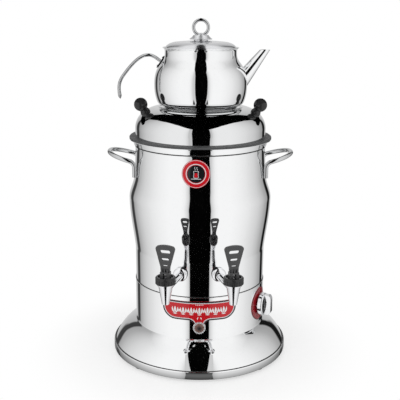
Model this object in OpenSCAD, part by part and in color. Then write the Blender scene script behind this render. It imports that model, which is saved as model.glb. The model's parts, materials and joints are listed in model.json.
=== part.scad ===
// Electric samovar: a flared base, a belly-shaped boiler with two lever taps,
// a domed lid with two ball knobs and a teapot that sits on the dome.
// Origin on the table under the axis of the boiler, +Z up, taps towards -Y.

/* [Base] */
// Height of the rubber feet
foot_h = 4; // [3:0.5:7]
// Radius of each rubber foot
foot_r = 10; // [8:0.5:11]
// How far the middle of each foot lies in from the rim
foot_inset = 15; // [13:0.5:17]
// Number of feet
foot_count = 4; // [3:1:6]
// Outer radius of the base rim
base_r = 164; // [162:0.5:172]
// Height of the upright band of the rim
rim_h = 14.5; // [8:0.5:20]
// Width of the lip turned in under the rim
rim_lip_w = 27; // [26:0.5:29]
// Height of the flare above the rim
flare_h = 46.5; // [40:0.5:52]
// Radius of the curve of the flare
flare_curve_r = 96; // [90:1:140]
// Radius of the lower shell
shell_r = 121; // [120.5:0.1:123]
// Height of the lower shell
shell_h = 75.4; // [72:0.2:84]
// Thickness of all the sheet metal
sheet_t = 0.8; // [0.6:0.1:1]
// Thickness of the bottom plate
plate_t = 1.2; // [1:0.1:2]

/* [Boiler] */
// Radius of the boiler at its lower seam
tank_r = 120.1; // [119.6:0.1:120.3]
// Height of the nearly straight lower part
straight_h = 62.4; // [58:0.2:70]
// Height of the swelling part
swell_h = 94.2; // [85:0.2:105]
// Height over which the belly falls back to the neck
fall_h = 38; // [30:0.5:45]
// Height of the neck
neck_h = 56; // [50:0.5:64]
// Radius of the belly
belly_r = 130.6; // [124:0.2:134]
// Radius of the neck
neck_r = 118.4; // [117.4:0.1:120]
// Outer radius of the flared lip
lip_r = 129; // [126:0.2:131]
// Height of the flared lip
lip_h = 14.1; // [13:0.1:18]
// Height of the boiler's floor above the seam
floor_up = 10.6; // [9.5:0.1:13]

/* [Heating element] */
// Radius of the element's ring
element_r = 62; // [50:1:75]
// Radius of the element's tube
element_tube_r = 4.2; // [3.5:0.1:5]
// Height of the ring above the floor
element_up = 20; // [14:0.5:24]

/* [Taps] */
// Angle of each tap from the front
tap_angle = 16; // [14:0.5:18]
// Height of the tap arm above the seam
tap_up = 42.6; // [38:0.2:46]
// Distance of the spout's axis from the boiler's axis
tap_reach = 203; // [190:0.5:212]
// Radius of the tap arm
tap_arm_r = 6; // [5.5:0.1:6.4]
// Radius of the flange against the boiler
tap_flange_r = 12.5; // [11.5:0.1:14]
// Radius of the threaded shank
tap_shank_r = 7.5; // [7:0.1:8]
// Radius of the water bore
tap_bore_r = 4.2; // [3.8:0.1:4.4]
// Radius of the spout at its end
spout_end_r = 6.3; // [6:0.1:7]
// Radius of the spout under the bonnet
spout_top_r = 12; // [11.6:0.1:12.6]
// How far the spout reaches below the arm's axis
spout_drop = 24.2; // [22:0.2:30]
// How far the tap body rises above the arm's axis
spout_rise = 11.5; // [10.5:0.1:13]
// Radius of the bonnet
bonnet_r = 16.9; // [16:0.1:18]
// Height of the bonnet
bonnet_h = 12.5; // [11.5:0.1:15]
// Number of finger flutes round the bonnet
flute_count = 20; // [12:1:26]
// Radius of the valve stem
stem_r = 2.5; // [2.2:0.1:2.8]
// Height of the lever above its pin
lever_h = 51.5; // [44:0.5:60]
// Width of the lever at its head
lever_head_w = 32.6; // [28:0.2:36]
// Width of the lever at its foot
lever_foot_w = 16; // [14:0.2:17.5]
// Thickness of the lever's blade
blade_t = 4.6; // [4:0.1:6]
// Half the depth of the lever's cam foot
cam_half = 5.5; // [5:0.1:6]
// Radius of the lever's pin
pin_r = 0.9; // [0.6:0.05:1]

/* [Thermostat and lamp] */
// Angle of the thermostat from the front
thermostat_angle = 66.5; // [60:0.5:90]
// Height of the thermostat's axis above the lower shell's foot
thermostat_up = 37.8; // [37.6:0.2:42]
// Radius of the thermostat's dial plate
dial_r = 31; // [26:0.2:31.4]
// Radius of the thermostat's knob
knob_r = 21; // [18:0.1:23]
// Height of the thermostat's knob
knob_h = 12.6; // [12:0.2:18]
// Height of the grip bar above the knob
grip_h = 8.8; // [4:0.2:10]
// Width of the grip bar
grip_w = 11; // [8:0.5:13]
// Radius of the thermostat's shaft
shaft_r = 3; // [2.6:0.1:3.4]
// Height of the lamp's axis above the lower shell's foot
lamp_up = 19.8; // [19:0.2:21]
// Outer radius of the lamp's bezel
bezel_r = 11; // [10:0.1:12]

/* [Plates] */
// Half the width of the name plate
name_half_w = 65; // [50:0.5:68]
// Height of the name plate's bar
name_h = 35; // [30:0.5:38]
// Drop of the name plate's top below the seam
name_drop = 7.4; // [5:0.2:9]
// Thickness of the name plate, the dial plate and the badge
badge_t = 0.8; // [0.5:0.1:1.2]
// Radius of the badge
badge_r = 24.2; // [18:0.2:26]
// Sideways place of the badge
badge_x = -7; // [-20:1:20]
// Height of the badge's centre above the start of the neck
badge_up = 27.8; // [26:0.2:30]

/* [Side handles] */
// Diameter of the handle rod
rod_d = 8; // [6:0.2:9]
// Half the width between the rod's two legs
handle_half_w = 42; // [40.5:0.5:56]
// How far the middle of the rod reaches from the axis
handle_reach = 165.8; // [165:0.2:180]
// Rise of the loop above the horizontal
handle_rise = 16; // [5:1:25]
// Radius of the loop's corners
handle_corner_r = 40; // [18:0.5:40]
// Length of each leg along the boiler
handle_leg = 17.7; // [12:0.1:22]
// Height of the legs' lower ends above the start of the neck
handle_up = 4.4; // [2:0.2:10]

/* [Dome lid] */
// Radius of the dome's wall
dome_r = 118.3; // [117.3:0.1:119]
// Height of the dome's straight wall above the seal
dome_wall_h = 14; // [10:0.5:20]
// Radius of the dome's shoulder
dome_shoulder_r = 36; // [30:0.5:40]
// Radius of the dome's crown
dome_crown_r = 60; // [55:1:70]
// Radius of the ring on which the teapot sits
dome_bead_r = 74.6; // [72:0.2:76]
// Radius of the steam opening under the teapot
dome_hole_r = 60; // [45:1:62]
// Thickness of the seal under the dome
seal_t = 3; // [2:0.1:4]
// Radius of each ball knob
ball_r = 12; // [10:0.2:14]
// Height of each ball's centre above the dome
ball_up = 17; // [16:0.2:22]
// Angle of the ball knobs from the sides, towards the front
ball_angle = 15; // [0:1:20]

/* [Teapot] */
// Radius of the teapot's belly
pot_r = 83.3; // [80:0.1:88]
// Radius of the teapot's neck
pot_neck_r = 64.2; // [62:0.1:67]
// Radius of the teapot's foot
pot_foot_r = 67.5; // [66.5:0.1:69]
// Height of the teapot's belly above its foot
pot_belly_up = 36; // [32:0.2:42]
// Height of the teapot's neck above its belly
pot_neck_up = 57; // [52:0.2:62]
// Height of the teapot's rim above its neck
pot_rim_h = 8.3; // [7.5:0.1:10]
// Thickness of the teapot's base disc
pot_disc_t = 3.5; // [3:0.1:6]
// Slope of the teapot's spout above the horizontal
pour_slope = 52.4; // [48:0.2:57]
// Distance of the spout's imaginary tip from the axis
pour_tip_r = 157; // [152:0.5:162]
// Height of the spout's imaginary tip above the teapot's foot
pour_tip_up = 153.4; // [148:0.2:158]
// Height of the spout's mouth above the teapot's foot
pour_mouth_up = 98.3; // [92:0.1:101]
// Taper of the spout, radius over length
pour_taper = 0.104; // [0.09:0.001:0.115]
// Thickness of the teapot's handle
strap_t = 6; // [5:0.2:8]
// Width of the teapot's handle
strap_w = 13; // [10:0.5:18]
// How far the teapot's handle reaches from the axis
strap_reach = 146; // [138:0.5:155]

/* [Teapot lid] */
// Height of the lid's crown above the rim
pot_lid_h = 12.4; // [10:0.2:16]
// Radius of the knob's cap
cap_r = 20.2; // [16:0.1:24]
// Outer radius of the knob's ring
ring_r = 16; // [14:0.1:19]
// Radius of the ring's rod
ring_rod_r = 2.9; // [2.3:0.1:3.4]

/* [Fits] */
// Clearance between fixed pieces
fit_gap = 0.05; // [0.03:0.01:0.1]
// Radial clearance of a turning or sliding shaft
run_gap = 0.06; // [0.03:0.01:0.1]
// Clearance between pieces that move apart
loose_gap = 0.3; // [0.25:0.05:0.5]

/* [Hidden] */
$fn = 64;
// facets of the preview on circles as wide as the body
round_fn = 360;

steel = [0.82, 0.83, 0.84];
chrome = [0.9, 0.9, 0.92];
black_plastic = [0.07, 0.07, 0.08];
grey_rubber = [0.3, 0.3, 0.31];
plate_red = [0.78, 0.08, 0.1];
copper = [0.75, 0.42, 0.25];
brass = [0.8, 0.68, 0.35];

// heights, from the table up
z_rim = foot_h + rim_h;
z_shell = z_rim + flare_h;
z_seam = z_shell + shell_h;
z_floor = z_seam + floor_up;
z_straight = z_seam + straight_h;
z_belly = z_straight + swell_h;
z_neck = z_belly + fall_h;
z_lip = z_neck + neck_h;
z_lip_top = z_lip + lip_h;
lip_clear = 1;
z_seal = z_lip_top + lip_clear;
z_dome = z_seal + seal_t;
z_tap = z_seam + tap_up;
z_thermostat = z_shell + thermostat_up;
z_lamp = z_shell + lamp_up;
z_inlet = z_shell + 36;
plate_top = foot_h + sheet_t + plate_t;

// ---------- plane geometry ----------

function unit(v) = v / norm(v);
function left_of(v) = [-v[1], v[0]];
function reverse(v) = [for (i = [len(v) - 1:-1:0]) v[i]];
function drop_first(v) = [for (i = [1:len(v) - 1]) v[i]];

// points of a circle about c from angle a0 to angle a1
function arc(c, r, a0, a1, n) = [
    for (i = [0:n])
        c + r * [cos(a0 + (a1 - a0) * i / n), sin(a0 + (a1 - a0) * i / n)]
];

// centre of the circle of radius r through p and q that lies left of the way from p to q
function centre_left(p, q, r) =
    (p + q) / 2 + unit(left_of(q - p)) * sqrt(r * r - (q - p) * (q - p) / 4);
function angle_from(c, p) = atan2(p[1] - c[1], p[0] - c[0]);

// points of the circle of radius r that bulges to the right of the way from p to q
function arc_to(p, q, r, n) =
    let (c = centre_left(p, q, r))
    arc(c, r, angle_from(c, p), angle_from(c, q), n);

// cubic run of [radius, height] from p to q, with dr/dz equal to mp at p and mq at q
function cubic(p, mp, q, mq, n) = [
    for (i = [1:n])
        let (t = i / n, h = q[1] - p[1])
        [
            (2 * t * t * t - 3 * t * t + 1) * p[0] + (t * t * t - 2 * t * t + t) * h * mp
            + (3 * t * t - 2 * t * t * t) * q[0] + (t * t * t - t * t) * h * mq,
            p[1] + h * t
        ]
];

// the path moved t to its left, with mitred corners
function shift_point(path, i, t) =
    let (
        last = len(path) - 1,
        u = unit(path[max(i, 1)] - path[max(i, 1) - 1]),
        v = unit(path[min(i, last - 1) + 1] - path[min(i, last - 1)]),
        n = unit(left_of(u) + left_of(v))
    )
    path[i] + n * t / (n * left_of(v));
function shifted(path, t) = [for (i = [0:len(path) - 1]) shift_point(path, i, t)];

// wall of thickness t on the left of a path of [radius, height]
module wall(path, t) {
    polygon(concat(path, reverse(shifted(path, t))));
}

module spun_wall(path, t) {
    rotate_extrude() wall(path, t);
}

// ---------- placing ----------

// local z runs outwards along a radius, x down and y sideways
module facing(angle, z) {
    rotate([0, 0, angle - 90])
        translate([0, 0, z])
            rotate([0, 90, 0])
                children();
}

module ring(r_out, r_in, h) {
    rotate_extrude($fn = round_fn) translate([r_in, 0]) square([r_out - r_in, h]);
}

module round_core(r, h) {
    cylinder(h = h, r = r, $fn = round_fn);
}

// round tube of radius r swept along points; away is a direction that no stretch runs along
function tube_ring(points, i, r, sides, away) =
    let (
        last = len(points) - 1,
        t = unit(unit(points[max(i, 1)] - points[max(i, 1) - 1])
            + unit(points[min(i, last - 1) + 1] - points[min(i, last - 1)])),
        u = unit(cross(t, away)),
        v = cross(t, u)
    )
    [for (j = [0:sides - 1]) points[i] + r * (u * cos(360 * j / sides) + v * sin(360 * j / sides))];

module tube(points, r, sides, away) {
    rings = len(points);
    vertices = [for (i = [0:rings - 1]) each tube_ring(points, i, r, sides, away)];
    skin(vertices, rings, sides);
}

// closed skin over rings of vertices, each with the same number of sides
module skin(vertices, rings, sides) {
    faces = [
        for (i = [0:rings - 2])
            for (j = [0:sides - 1])
                let (k = (j + 1) % sides, a = i * sides, b = a + sides)
                each [[a + j, b + j, a + k], [a + k, b + j, b + k]]
    ];
    first = [[for (j = [0:sides - 1]) j]];
    last = [[for (j = [sides - 1:-1:0]) (rings - 1) * sides + j]];
    polyhedron(vertices, concat(first, faces, last));
}

// round bar through a list of points, with a ball at each joint
module bar_through(points, r) {
    for (i = [0:len(points) - 2]) {
        way = points[i + 1] - points[i];
        translate(points[i])
            rotate([0, acos(way[2] / norm(way)), atan2(way[1], way[0])])
                cylinder(h = norm(way), r = r);
    }
    for (i = [1:len(points) - 2])
        translate(points[i])
            sphere(r = r * 1.08);
}

// ---------- base ----------

flare_fillet_r = 6;
flare_top_slope = 31;
rim_round = 1.5;
rim_corner_r = 1.6;
rim_ledge_w = 3.5;
flare_start = [base_r - rim_ledge_w, z_rim + 0.4];
fillet_centre = [shell_r + flare_fillet_r, z_shell];
flare_end = fillet_centre + flare_fillet_r * [-sin(flare_top_slope), -cos(flare_top_slope)];
skirt_path = concat(
    [[base_r - rim_lip_w, foot_h]],
    arc([base_r - rim_round, foot_h + rim_round], rim_round, -90, 0, 4),
    arc([base_r - rim_corner_r, z_rim - rim_corner_r], rim_corner_r, 0, 90, 4),
    arc_to(flare_start, flare_end, flare_curve_r, 16),
    drop_first(arc(fillet_centre, flare_fillet_r, 270 - flare_top_slope, 180, 5))
);
foot_ring_r = base_r - foot_inset;
foot_screw_r = 2;
foot_recess_r = 5;
foot_recess_h = 2;

module at_feet() {
    for (i = [0:foot_count - 1])
        rotate([0, 0, 45 + i * 360 / foot_count])
            translate([foot_ring_r, 0, 0])
                children();
}

module foot_screw_holes() {
    at_feet() cylinder(h = plate_top + 10, r = foot_screw_r + fit_gap);
}

module base_skirt() {
    color(steel)
        difference() {
            spun_wall(skirt_path, sheet_t);
            foot_screw_holes();
        }
}

shelf_r = tank_r - sheet_t - fit_gap;
shelf_h = 6;
shell_path = [
    [shell_r, z_shell],
    [shell_r, z_seam],
    [shelf_r, z_seam],
    [shelf_r, z_seam + shelf_h]
];
inlet_w = 27;
inlet_h = 20;
lamp_body_r = 6.3;

module base_shell() {
    color(steel)
        difference() {
            spun_wall(shell_path, sheet_t);
            facing(thermostat_angle, z_thermostat) thermostat_holes();
            facing(0, z_lamp) translate([0, 0, shell_r - 8]) cylinder(h = 16, r = lamp_body_r + fit_gap);
            facing(180, z_inlet)
                translate([-inlet_h / 2 - fit_gap, -inlet_w / 2 - fit_gap, shell_r - 8])
                    cube([inlet_h + 2 * fit_gap, inlet_w + 2 * fit_gap, 16]);
        }
}

base_plate_r = base_r - 6;
vent_ring_r = 96;
vent_count = 12;
vent_r = 4;

module base_plate() {
    color(steel)
        translate([0, 0, foot_h + sheet_t])
            difference() {
                cylinder(h = plate_t, r = base_plate_r);
                translate([0, 0, -foot_h - sheet_t]) foot_screw_holes();
                for (i = [0:vent_count - 1])
                    rotate([0, 0, i * 360 / vent_count])
                        translate([vent_ring_r, 0, -1])
                            cylinder(h = plate_t + 2, r = vent_r);
            }
}

module feet() {
    color(grey_rubber)
        at_feet()
            difference() {
                cylinder(h = foot_h, r = foot_r);
                translate([0, 0, -1]) cylinder(h = foot_h + 2, r = foot_screw_r + fit_gap);
                translate([0, 0, -1]) cylinder(h = foot_recess_h + 1, r = foot_recess_r);
            }
}

screw_head_h = 1.6;
foot_nut_h = 3;

module foot_screws() {
    color(chrome)
        at_feet() {
            translate([0, 0, foot_recess_h - screw_head_h])
                cylinder(h = screw_head_h, r = foot_recess_r - 0.8);
            translate([0, 0, foot_recess_h - 0.5]) cylinder(h = plate_top + foot_nut_h, r = foot_screw_r);
            translate([0, 0, plate_top]) cylinder(h = foot_nut_h, r = 3.6, $fn = 6);
        }
}

// ---------- boiler ----------

waist_r = tank_r + 0.3;
// the collar under the seal stands out from the neck and then flares into the lip
collar_foot = [neck_r + 0.2, z_lip + 2.2];
collar_low = [neck_r + 2.5, z_lip + 4];
collar_top = [neck_r + 3.8, z_lip_top - 2.5];
tank_path = concat(
    [[tank_r, z_seam]],
    [[waist_r, z_straight]],
    cubic([waist_r, z_straight], 0.11, [belly_r, z_belly], 0, 16),
    cubic([belly_r, z_belly], 0, [neck_r + 2.9, z_neck], -0.08, 12),
    cubic([neck_r + 2.9, z_neck], -0.08, [neck_r, z_lip], -0.01, 8),
    [collar_foot, collar_low, collar_top, [lip_r, z_lip_top]]
);
function tank_r_at(z) = lookup(z, [for (p = tank_path) [p[1], p[0]]]);
tank_tap_r = tank_r_at(z_tap);
// flat seat of a tap's flange, clear of the round wall
tap_seat = tank_tap_r + 1.2;

module tank() {
    color(steel)
        difference() {
            spun_wall(tank_path, sheet_t);
            for (side = [-1, 1])
                facing(side * tap_angle, z_tap)
                    translate([0, 0, tank_r - 12])
                        cylinder(h = 24, r = tap_shank_r + fit_gap);
        }
}

floor_r = tank_r - sheet_t - 0.1;
floor_t = 1;
floor_path = [
    [floor_r, z_floor - 3.6],
    [floor_r, z_floor],
    [0, z_floor]
];
element_leg_angle = 60;
bushing_r = 6.5;
bushing_flange_r = 10;
element_seal_t = 1;
bushing_flange_h = 3;
nut_h = 5;

module at_element_legs() {
    for (side = [-1, 1])
        rotate([0, 0, 90 - side * (90 - element_leg_angle)])
            translate([element_r, 0, 0])
                children();
}

module tank_floor() {
    color(steel)
        difference() {
            spun_wall(floor_path, floor_t);
            at_element_legs()
                translate([0, 0, z_floor - 5])
                    cylinder(h = 10, r = bushing_r + fit_gap);
        }
}

module heating_element() {
    z_ring = z_floor + element_up;
    gap_angle = 180 - 2 * element_leg_angle;
    color(steel) {
        translate([0, 0, z_ring])
            rotate([0, 0, 90 + gap_angle / 2])
                rotate_extrude(angle = 360 - gap_angle)
                    translate([element_r, 0])
                        circle(r = element_tube_r);
        at_element_legs() {
            translate([0, 0, z_ring]) sphere(r = element_tube_r * 1.1);
            translate([0, 0, z_floor]) cylinder(h = element_up, r = element_tube_r);
            translate([0, 0, z_floor + element_seal_t]) cylinder(h = bushing_flange_h, r = bushing_flange_r);
            translate([0, 0, z_floor - 9]) cylinder(h = 12, r = bushing_r);
            translate([0, 0, z_floor - 16]) cylinder(h = 8, r = 1.5);
        }
    }
}

module element_seals() {
    color(grey_rubber)
        at_element_legs()
            translate([0, 0, z_floor])
                ring(bushing_flange_r - 0.5, bushing_r + fit_gap, element_seal_t);
}

module element_nuts() {
    color(brass)
        at_element_legs()
            translate([0, 0, z_floor - floor_t - nut_h])
                difference() {
                    cylinder(h = nut_h, r = 10, $fn = 6);
                    translate([0, 0, -1]) cylinder(h = nut_h + 2, r = bushing_r + fit_gap);
                }
}

cutout_place = [-34, -18];

module thermal_cutout() {
    color(black_plastic)
        translate([cutout_place[0], cutout_place[1], z_floor - floor_t - 9]) {
            cylinder(h = 6, r = 7.5);
            translate([0, 0, 6]) cylinder(h = 3, r = 9);
            for (side = [-1, 1])
                translate([side * 4 - 0.4, -3, -7]) cube([0.8, 6, 8]);
        }
}

bulb_r = 3;
bulb_len = 70;

module capillary() {
    z_bulb = z_floor - floor_t - bulb_r;
    start = [30, -20, z_bulb];
    z_body = z_thermostat + 8;
    color(copper) {
        translate(start) rotate([0, -90, 0]) translate([0, 0, -20]) cylinder(h = bulb_len - 20, r = bulb_r);
        bar_through(
            [
                start + [19, 0, 0],
                start + [28, -2, -3],
                [64, -30, z_bulb - 12],
                [back_r * cos(thermostat_angle - 90), back_r * sin(thermostat_angle - 90), z_body]
            ],
            0.9
        );
    }
}

block_place = [0, 84];

module terminal_block() {
    color([0.85, 0.84, 0.8])
        translate([block_place[0], block_place[1], plate_top])
            difference() {
                translate([-18, -9, 0]) cube([36, 18, 16]);
                for (i = [-1:1])
                    translate([i * 11, 0, 6]) cylinder(h = 12, r = 2.6);
            }
}

// ---------- power inlet ----------

inlet_deep = 22;
inlet_flange_t = 3;

module power_inlet() {
    color(black_plastic)
        difference() {
            facing(180, z_inlet) {
                translate([-inlet_h / 2, -inlet_w / 2, shell_r - inlet_deep])
                    cube([inlet_h, inlet_w, inlet_deep + inlet_flange_t]);
                translate([-inlet_h / 2 - 4, -inlet_w / 2 - 9, shell_r - 4])
                    cube([inlet_h + 8, inlet_w + 18, 4 + inlet_flange_t]);
            }
            translate([0, 0, z_inlet - inlet_h])
                difference() {
                    round_core(shell_r + fit_gap, 2 * inlet_h);
                    translate([-inlet_w / 2, 0, inlet_h / 2]) cube([inlet_w, 2 * shell_r, inlet_h]);
                }
            facing(180, z_inlet)
                translate([2 - inlet_h / 2, 1.5 - inlet_w / 2, shell_r - inlet_deep + 3])
                    cube([inlet_h - 4, inlet_w - 3, inlet_deep + 5]);
            facing(180, z_inlet)
                at_inlet_pins()
                    translate([-2 - fit_gap, -1 - fit_gap, shell_r - inlet_deep - 1])
                        cube([4 + 2 * fit_gap, 2 + 2 * fit_gap, 8]);
        }
}

module at_inlet_pins() {
    translate([2, 7, 0]) children();
    translate([2, -7, 0]) children();
    translate([-2, 0, 0]) children();
}

module inlet_pins() {
    color(chrome)
        facing(180, z_inlet)
            at_inlet_pins()
                translate([-2, -1, shell_r - inlet_deep - 6])
                    cube([4, 2, inlet_deep]);
}

wire_r = 1.3;

// wire along a cubic Bezier curve through four control points
module wire(a, b, c, d) {
    tube(bezier(a, b, c, d, 12), wire_r, 8, [1, 0, 0]);
}

module wiring() {
    z_pin = z_floor - 16;
    pin_x = element_r * cos(element_leg_angle);
    pin_y = element_r * sin(element_leg_angle);
    block_z = plate_top + 8;
    back = inlet_deep + 6;
    color([0.6, 0.1, 0.1]) {
        for (side = [-1, 1])
            wire(
                [side * 11, block_place[1], block_z],
                [side * 11, block_place[1], block_z + 50],
                [side * pin_x, pin_y, z_pin - 50],
                [side * pin_x, pin_y, z_pin]
            );
        wire(
            [0, block_place[1], block_z],
            [0, block_place[1], block_z + 50],
            [0, shell_r - back - 40, z_inlet + 2],
            [0, shell_r - back, z_inlet + 2]
        );
    }
}

// ---------- thermostat ----------

body_r = 17;
body_deep = 26;
// flat front of the thermostat body, behind the round shell
front_r = sqrt(pow(shell_r - sheet_t, 2) - pow(body_r, 2)) - 0.2;
back_r = front_r - body_deep;
screw_pitch = 14;
thermo_screw_r = 1.5;
shaft_in = 10;
knob_base_r = shell_r + badge_t + fit_gap + 1.2;

module thermostat_holes() {
    translate([0, 0, shell_r - 8]) cylinder(h = 16, r = shaft_r + 1);
    for (side = [-1, 1])
        translate([0, side * screw_pitch, shell_r - 8]) cylinder(h = 16, r = thermo_screw_r + fit_gap);
}

module thermostat_body() {
    color(black_plastic)
        facing(thermostat_angle, z_thermostat)
            difference() {
                union() {
                    translate([0, 0, back_r]) cylinder(h = body_deep - 3, r = body_r);
                    translate([0, 0, front_r - 4]) cylinder(h = 4, r = body_r - 0.5);
                }
                translate([0, 0, front_r - shaft_in - 0.5]) cylinder(h = shaft_in + 1, r = shaft_r + run_gap);
                for (side = [-1, 1])
                    translate([0, side * screw_pitch, front_r - 6])
                        cylinder(h = 7, r = thermo_screw_r + fit_gap);
            }
}

module thermostat_screws() {
    head_z = shell_r + badge_t;
    color(chrome)
        facing(thermostat_angle, z_thermostat)
            for (side = [-1, 1])
                translate([0, side * screw_pitch, 0]) {
                    translate([0, 0, front_r - 5.5]) cylinder(h = head_z - front_r + 5.5, r = thermo_screw_r);
                    translate([0, 0, head_z]) cylinder(h = 0.8, r = 2.6);
                }
}

module thermostat_shaft() {
    color(steel)
        facing(thermostat_angle, z_thermostat)
            translate([0, 0, front_r - shaft_in])
                cylinder(h = knob_base_r + knob_h - 4 - front_r + shaft_in, r = shaft_r);
}

// the knob stands off the dial far enough to clear the screw heads
knob_clear = 0.6;
// rounding of the grip bar's two upper ends
grip_corner = 10;

module thermostat_knob() {
    z0 = knob_base_r + knob_clear;
    grip_top = z0 + knob_h + grip_h;
    color(chrome)
        facing(thermostat_angle, z_thermostat)
            difference() {
                union() {
                    rotate_extrude()
                        polygon(concat(
                            [[0, z0], [knob_r - 1, z0], [knob_r, z0 + 1]],
                            [[knob_r - 0.4, z0 + knob_h - 7]],
                            arc([knob_r - 3.4, z0 + knob_h - 6], 3, 0, 90, 6),
                            [[knob_r - 5, z0 + knob_h - 3], [0, z0 + knob_h - 3]]
                        ));
                    intersection() {
                        translate([0, 0, z0]) cylinder(h = knob_h + grip_h + 1, r = knob_r - 1.5);
                        translate([0, grip_w / 2, 0]) rotate([90, 0, 0]) linear_extrude(grip_w)
                            polygon(concat(
                                [[-knob_r, z0 + knob_h - 4], [knob_r, z0 + knob_h - 4]],
                                arc([knob_r - grip_corner, grip_top - grip_corner], grip_corner, 0, 90, 6),
                                arc([grip_corner - knob_r, grip_top - grip_corner], grip_corner, 90, 180, 6)
                            ));
                    }
                }
                translate([0, 0, z0 - 1]) cylinder(h = knob_h - 3.5, r = shaft_r + fit_gap);
                translate([-knob_r, -0.8, grip_top - 0.6]) cube([knob_r * 0.8, 1.6, 2]);
            }
}

// round plate that follows the lower shell
module dial_plate() {
    color(plate_red)
        difference() {
            intersection() {
                translate([0, 0, z_thermostat - dial_r - 1])
                    ring(shell_r + fit_gap + badge_t, shell_r + fit_gap, 2 * dial_r + 2);
                facing(thermostat_angle, z_thermostat)
                    translate([0, 0, shell_r - 20])
                        cylinder(h = 40, r = dial_r);
            }
            facing(thermostat_angle, z_thermostat) thermostat_holes();
        }
}

// ---------- lamp and plates ----------

module lamp_bezel() {
    lens_hole = bezel_r - 2.6;
    color(chrome)
        difference() {
            facing(0, z_lamp)
                difference() {
                    translate([0, 0, shell_r - 3]) cylinder(h = 7, r = bezel_r);
                    translate([0, 0, shell_r - 8]) cylinder(h = 20, r = lamp_body_r + fit_gap);
                    translate([0, 0, shell_r + 1.6]) cylinder(h = 8, r = lens_hole);
                }
            translate([0, 0, z_lamp - 2 * bezel_r]) round_core(shell_r + fit_gap, 4 * bezel_r);
        }
}

module lamp_lens() {
    lens_r = bezel_r - 2.6 - fit_gap;
    color([0.28, 0.06, 0.04])
        facing(0, z_lamp)
            translate([0, 0, shell_r + 1.65])
                rotate_extrude()
                    polygon(concat(
                        [[0, 0], [lens_r, 0], [lens_r, 2.2]],
                        arc([0, 2.2 - lens_r * 1.2], lens_r * sqrt(1 + 1.44), 50.2, 90, 8)
                    ));
}

module lamp_body() {
    color(black_plastic)
        facing(0, z_lamp) {
            translate([0, 0, shell_r - 24]) cylinder(h = 25.6, r = lamp_body_r);
            translate([0, 0, shell_r - sheet_t - 4.4]) cylinder(h = 3.2, r = 10, $fn = 6);
            for (side = [-1, 1])
                translate([side * 3 - 0.4, -2, shell_r - 31]) cube([0.8, 4, 8]);
        }
}

name_top_r = 8;
name_low_r = 22;
name_neck_w = 9;
name_fillet_r = 11;

// right half of the name plate's outline, from the top to the lamp
function name_half(z_top, z_low) = concat(
    arc([name_half_w - name_top_r, z_top - name_top_r], name_top_r, 90, 0, 6),
    arc([name_half_w - name_low_r, z_low + name_low_r], name_low_r, 0, -90, 10),
    arc([name_neck_w + name_fillet_r, z_low - name_fillet_r], name_fillet_r, 90, 180, 6)
);

module name_outline() {
    z_top = z_seam - name_drop;
    half = concat(name_half(z_top, z_top - name_h), [[name_neck_w, z_lamp]]);
    polygon(concat(half, reverse([for (p = half) [-p[0], p[1]]])));
}

module name_plate() {
    color(plate_red)
        difference() {
            intersection() {
                translate([0, 0, z_shell])
                    ring(shell_r + fit_gap + badge_t, shell_r + fit_gap, shell_h);
                rotate([90, 0, 0]) linear_extrude(height = shell_r + 10) name_outline();
            }
            facing(0, z_lamp) translate([0, 0, shell_r - 8]) cylinder(h = 20, r = bezel_r + fit_gap);
        }
}

module badge() {
    z_badge = z_neck + badge_up;
    near = [for (p = tank_path) if (p[1] > z_neck - 1 && p[1] <= z_lip) p];
    color(plate_red)
        intersection() {
            rotate_extrude()
                polygon(concat(
                    shifted(near, -fit_gap - badge_t),
                    reverse(shifted(near, -fit_gap))
                ));
            translate([badge_x, 0, z_badge])
                rotate([90, 0, 0])
                    cylinder(h = neck_r + 20, r = badge_r);
        }
}

// ---------- side handles ----------

handle_bend_r = 12;
handle_foot_z = z_neck + handle_up;
leg_r = tank_r_at(handle_foot_z) + rod_d / 2 + fit_gap;
leg_x = sqrt(leg_r * leg_r - handle_half_w * handle_half_w);
out_turn = 90 - handle_rise;
out_run = (handle_reach - leg_x - handle_bend_r * (1 - cos(out_turn))) / cos(handle_rise) - handle_corner_r;

// middle line of one half of the rod, from its foot to the middle of the grip
out_way = [cos(handle_rise), 0, sin(handle_rise)];
bend_centre = [leg_x + handle_bend_r, handle_half_w, handle_foot_z + handle_leg];
bend_line = [
    for (i = [0:8])
        let (a = out_turn * i / 8)
        bend_centre + handle_bend_r * [-cos(a), 0, sin(a)]
];
corner_centre = bend_line[8] + out_run * out_way - [0, handle_corner_r, 0];
corner_line = [
    for (i = [0:9])
        let (a = 10 * i)
        corner_centre + handle_corner_r * (sin(a) * out_way + [0, cos(a), 0])
];
half_rod = concat([[leg_x, handle_half_w, handle_foot_z]], bend_line, corner_line);
rod_line = concat(half_rod, reverse([for (p = half_rod) [p[0], -p[1], p[2]]]));
rod_sides = 20;

module side_handle_right() {
    color(steel) tube(rod_line, rod_d / 2, rod_sides, [1, 0, -1]);
}

module side_handle_left() {
    mirror([1, 0, 0]) side_handle_right();
}

// ---------- taps ----------

z_spout_end = z_tap - spout_drop;
z_bonnet = z_tap + spout_rise;
z_valve_seat = z_tap - tap_bore_r - 0.8;
chamber_r = 7;
thread_r = 10.8;
thread_h = 5;
gasket_t = 1.2;
bonnet_recess = 3;
z_ceiling = z_bonnet + thread_h + gasket_t;
z_recess = z_bonnet + bonnet_h - bonnet_recess;
cam_up = 5;
z_pin = z_recess + cam_up + loose_gap;
cup_r = 5.4;
cup_h = 6;
cup_socket_h = 2;
tongue_w = 1.5 * stem_r;
tongue_d = 1.3 * stem_r;
tongue_h = cam_up + 2;
foot_up = 6;
fork_up = 3.6;
rib_t = 1.6;
rib_h = 5.5;
rib_pitch = 4.6;

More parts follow.
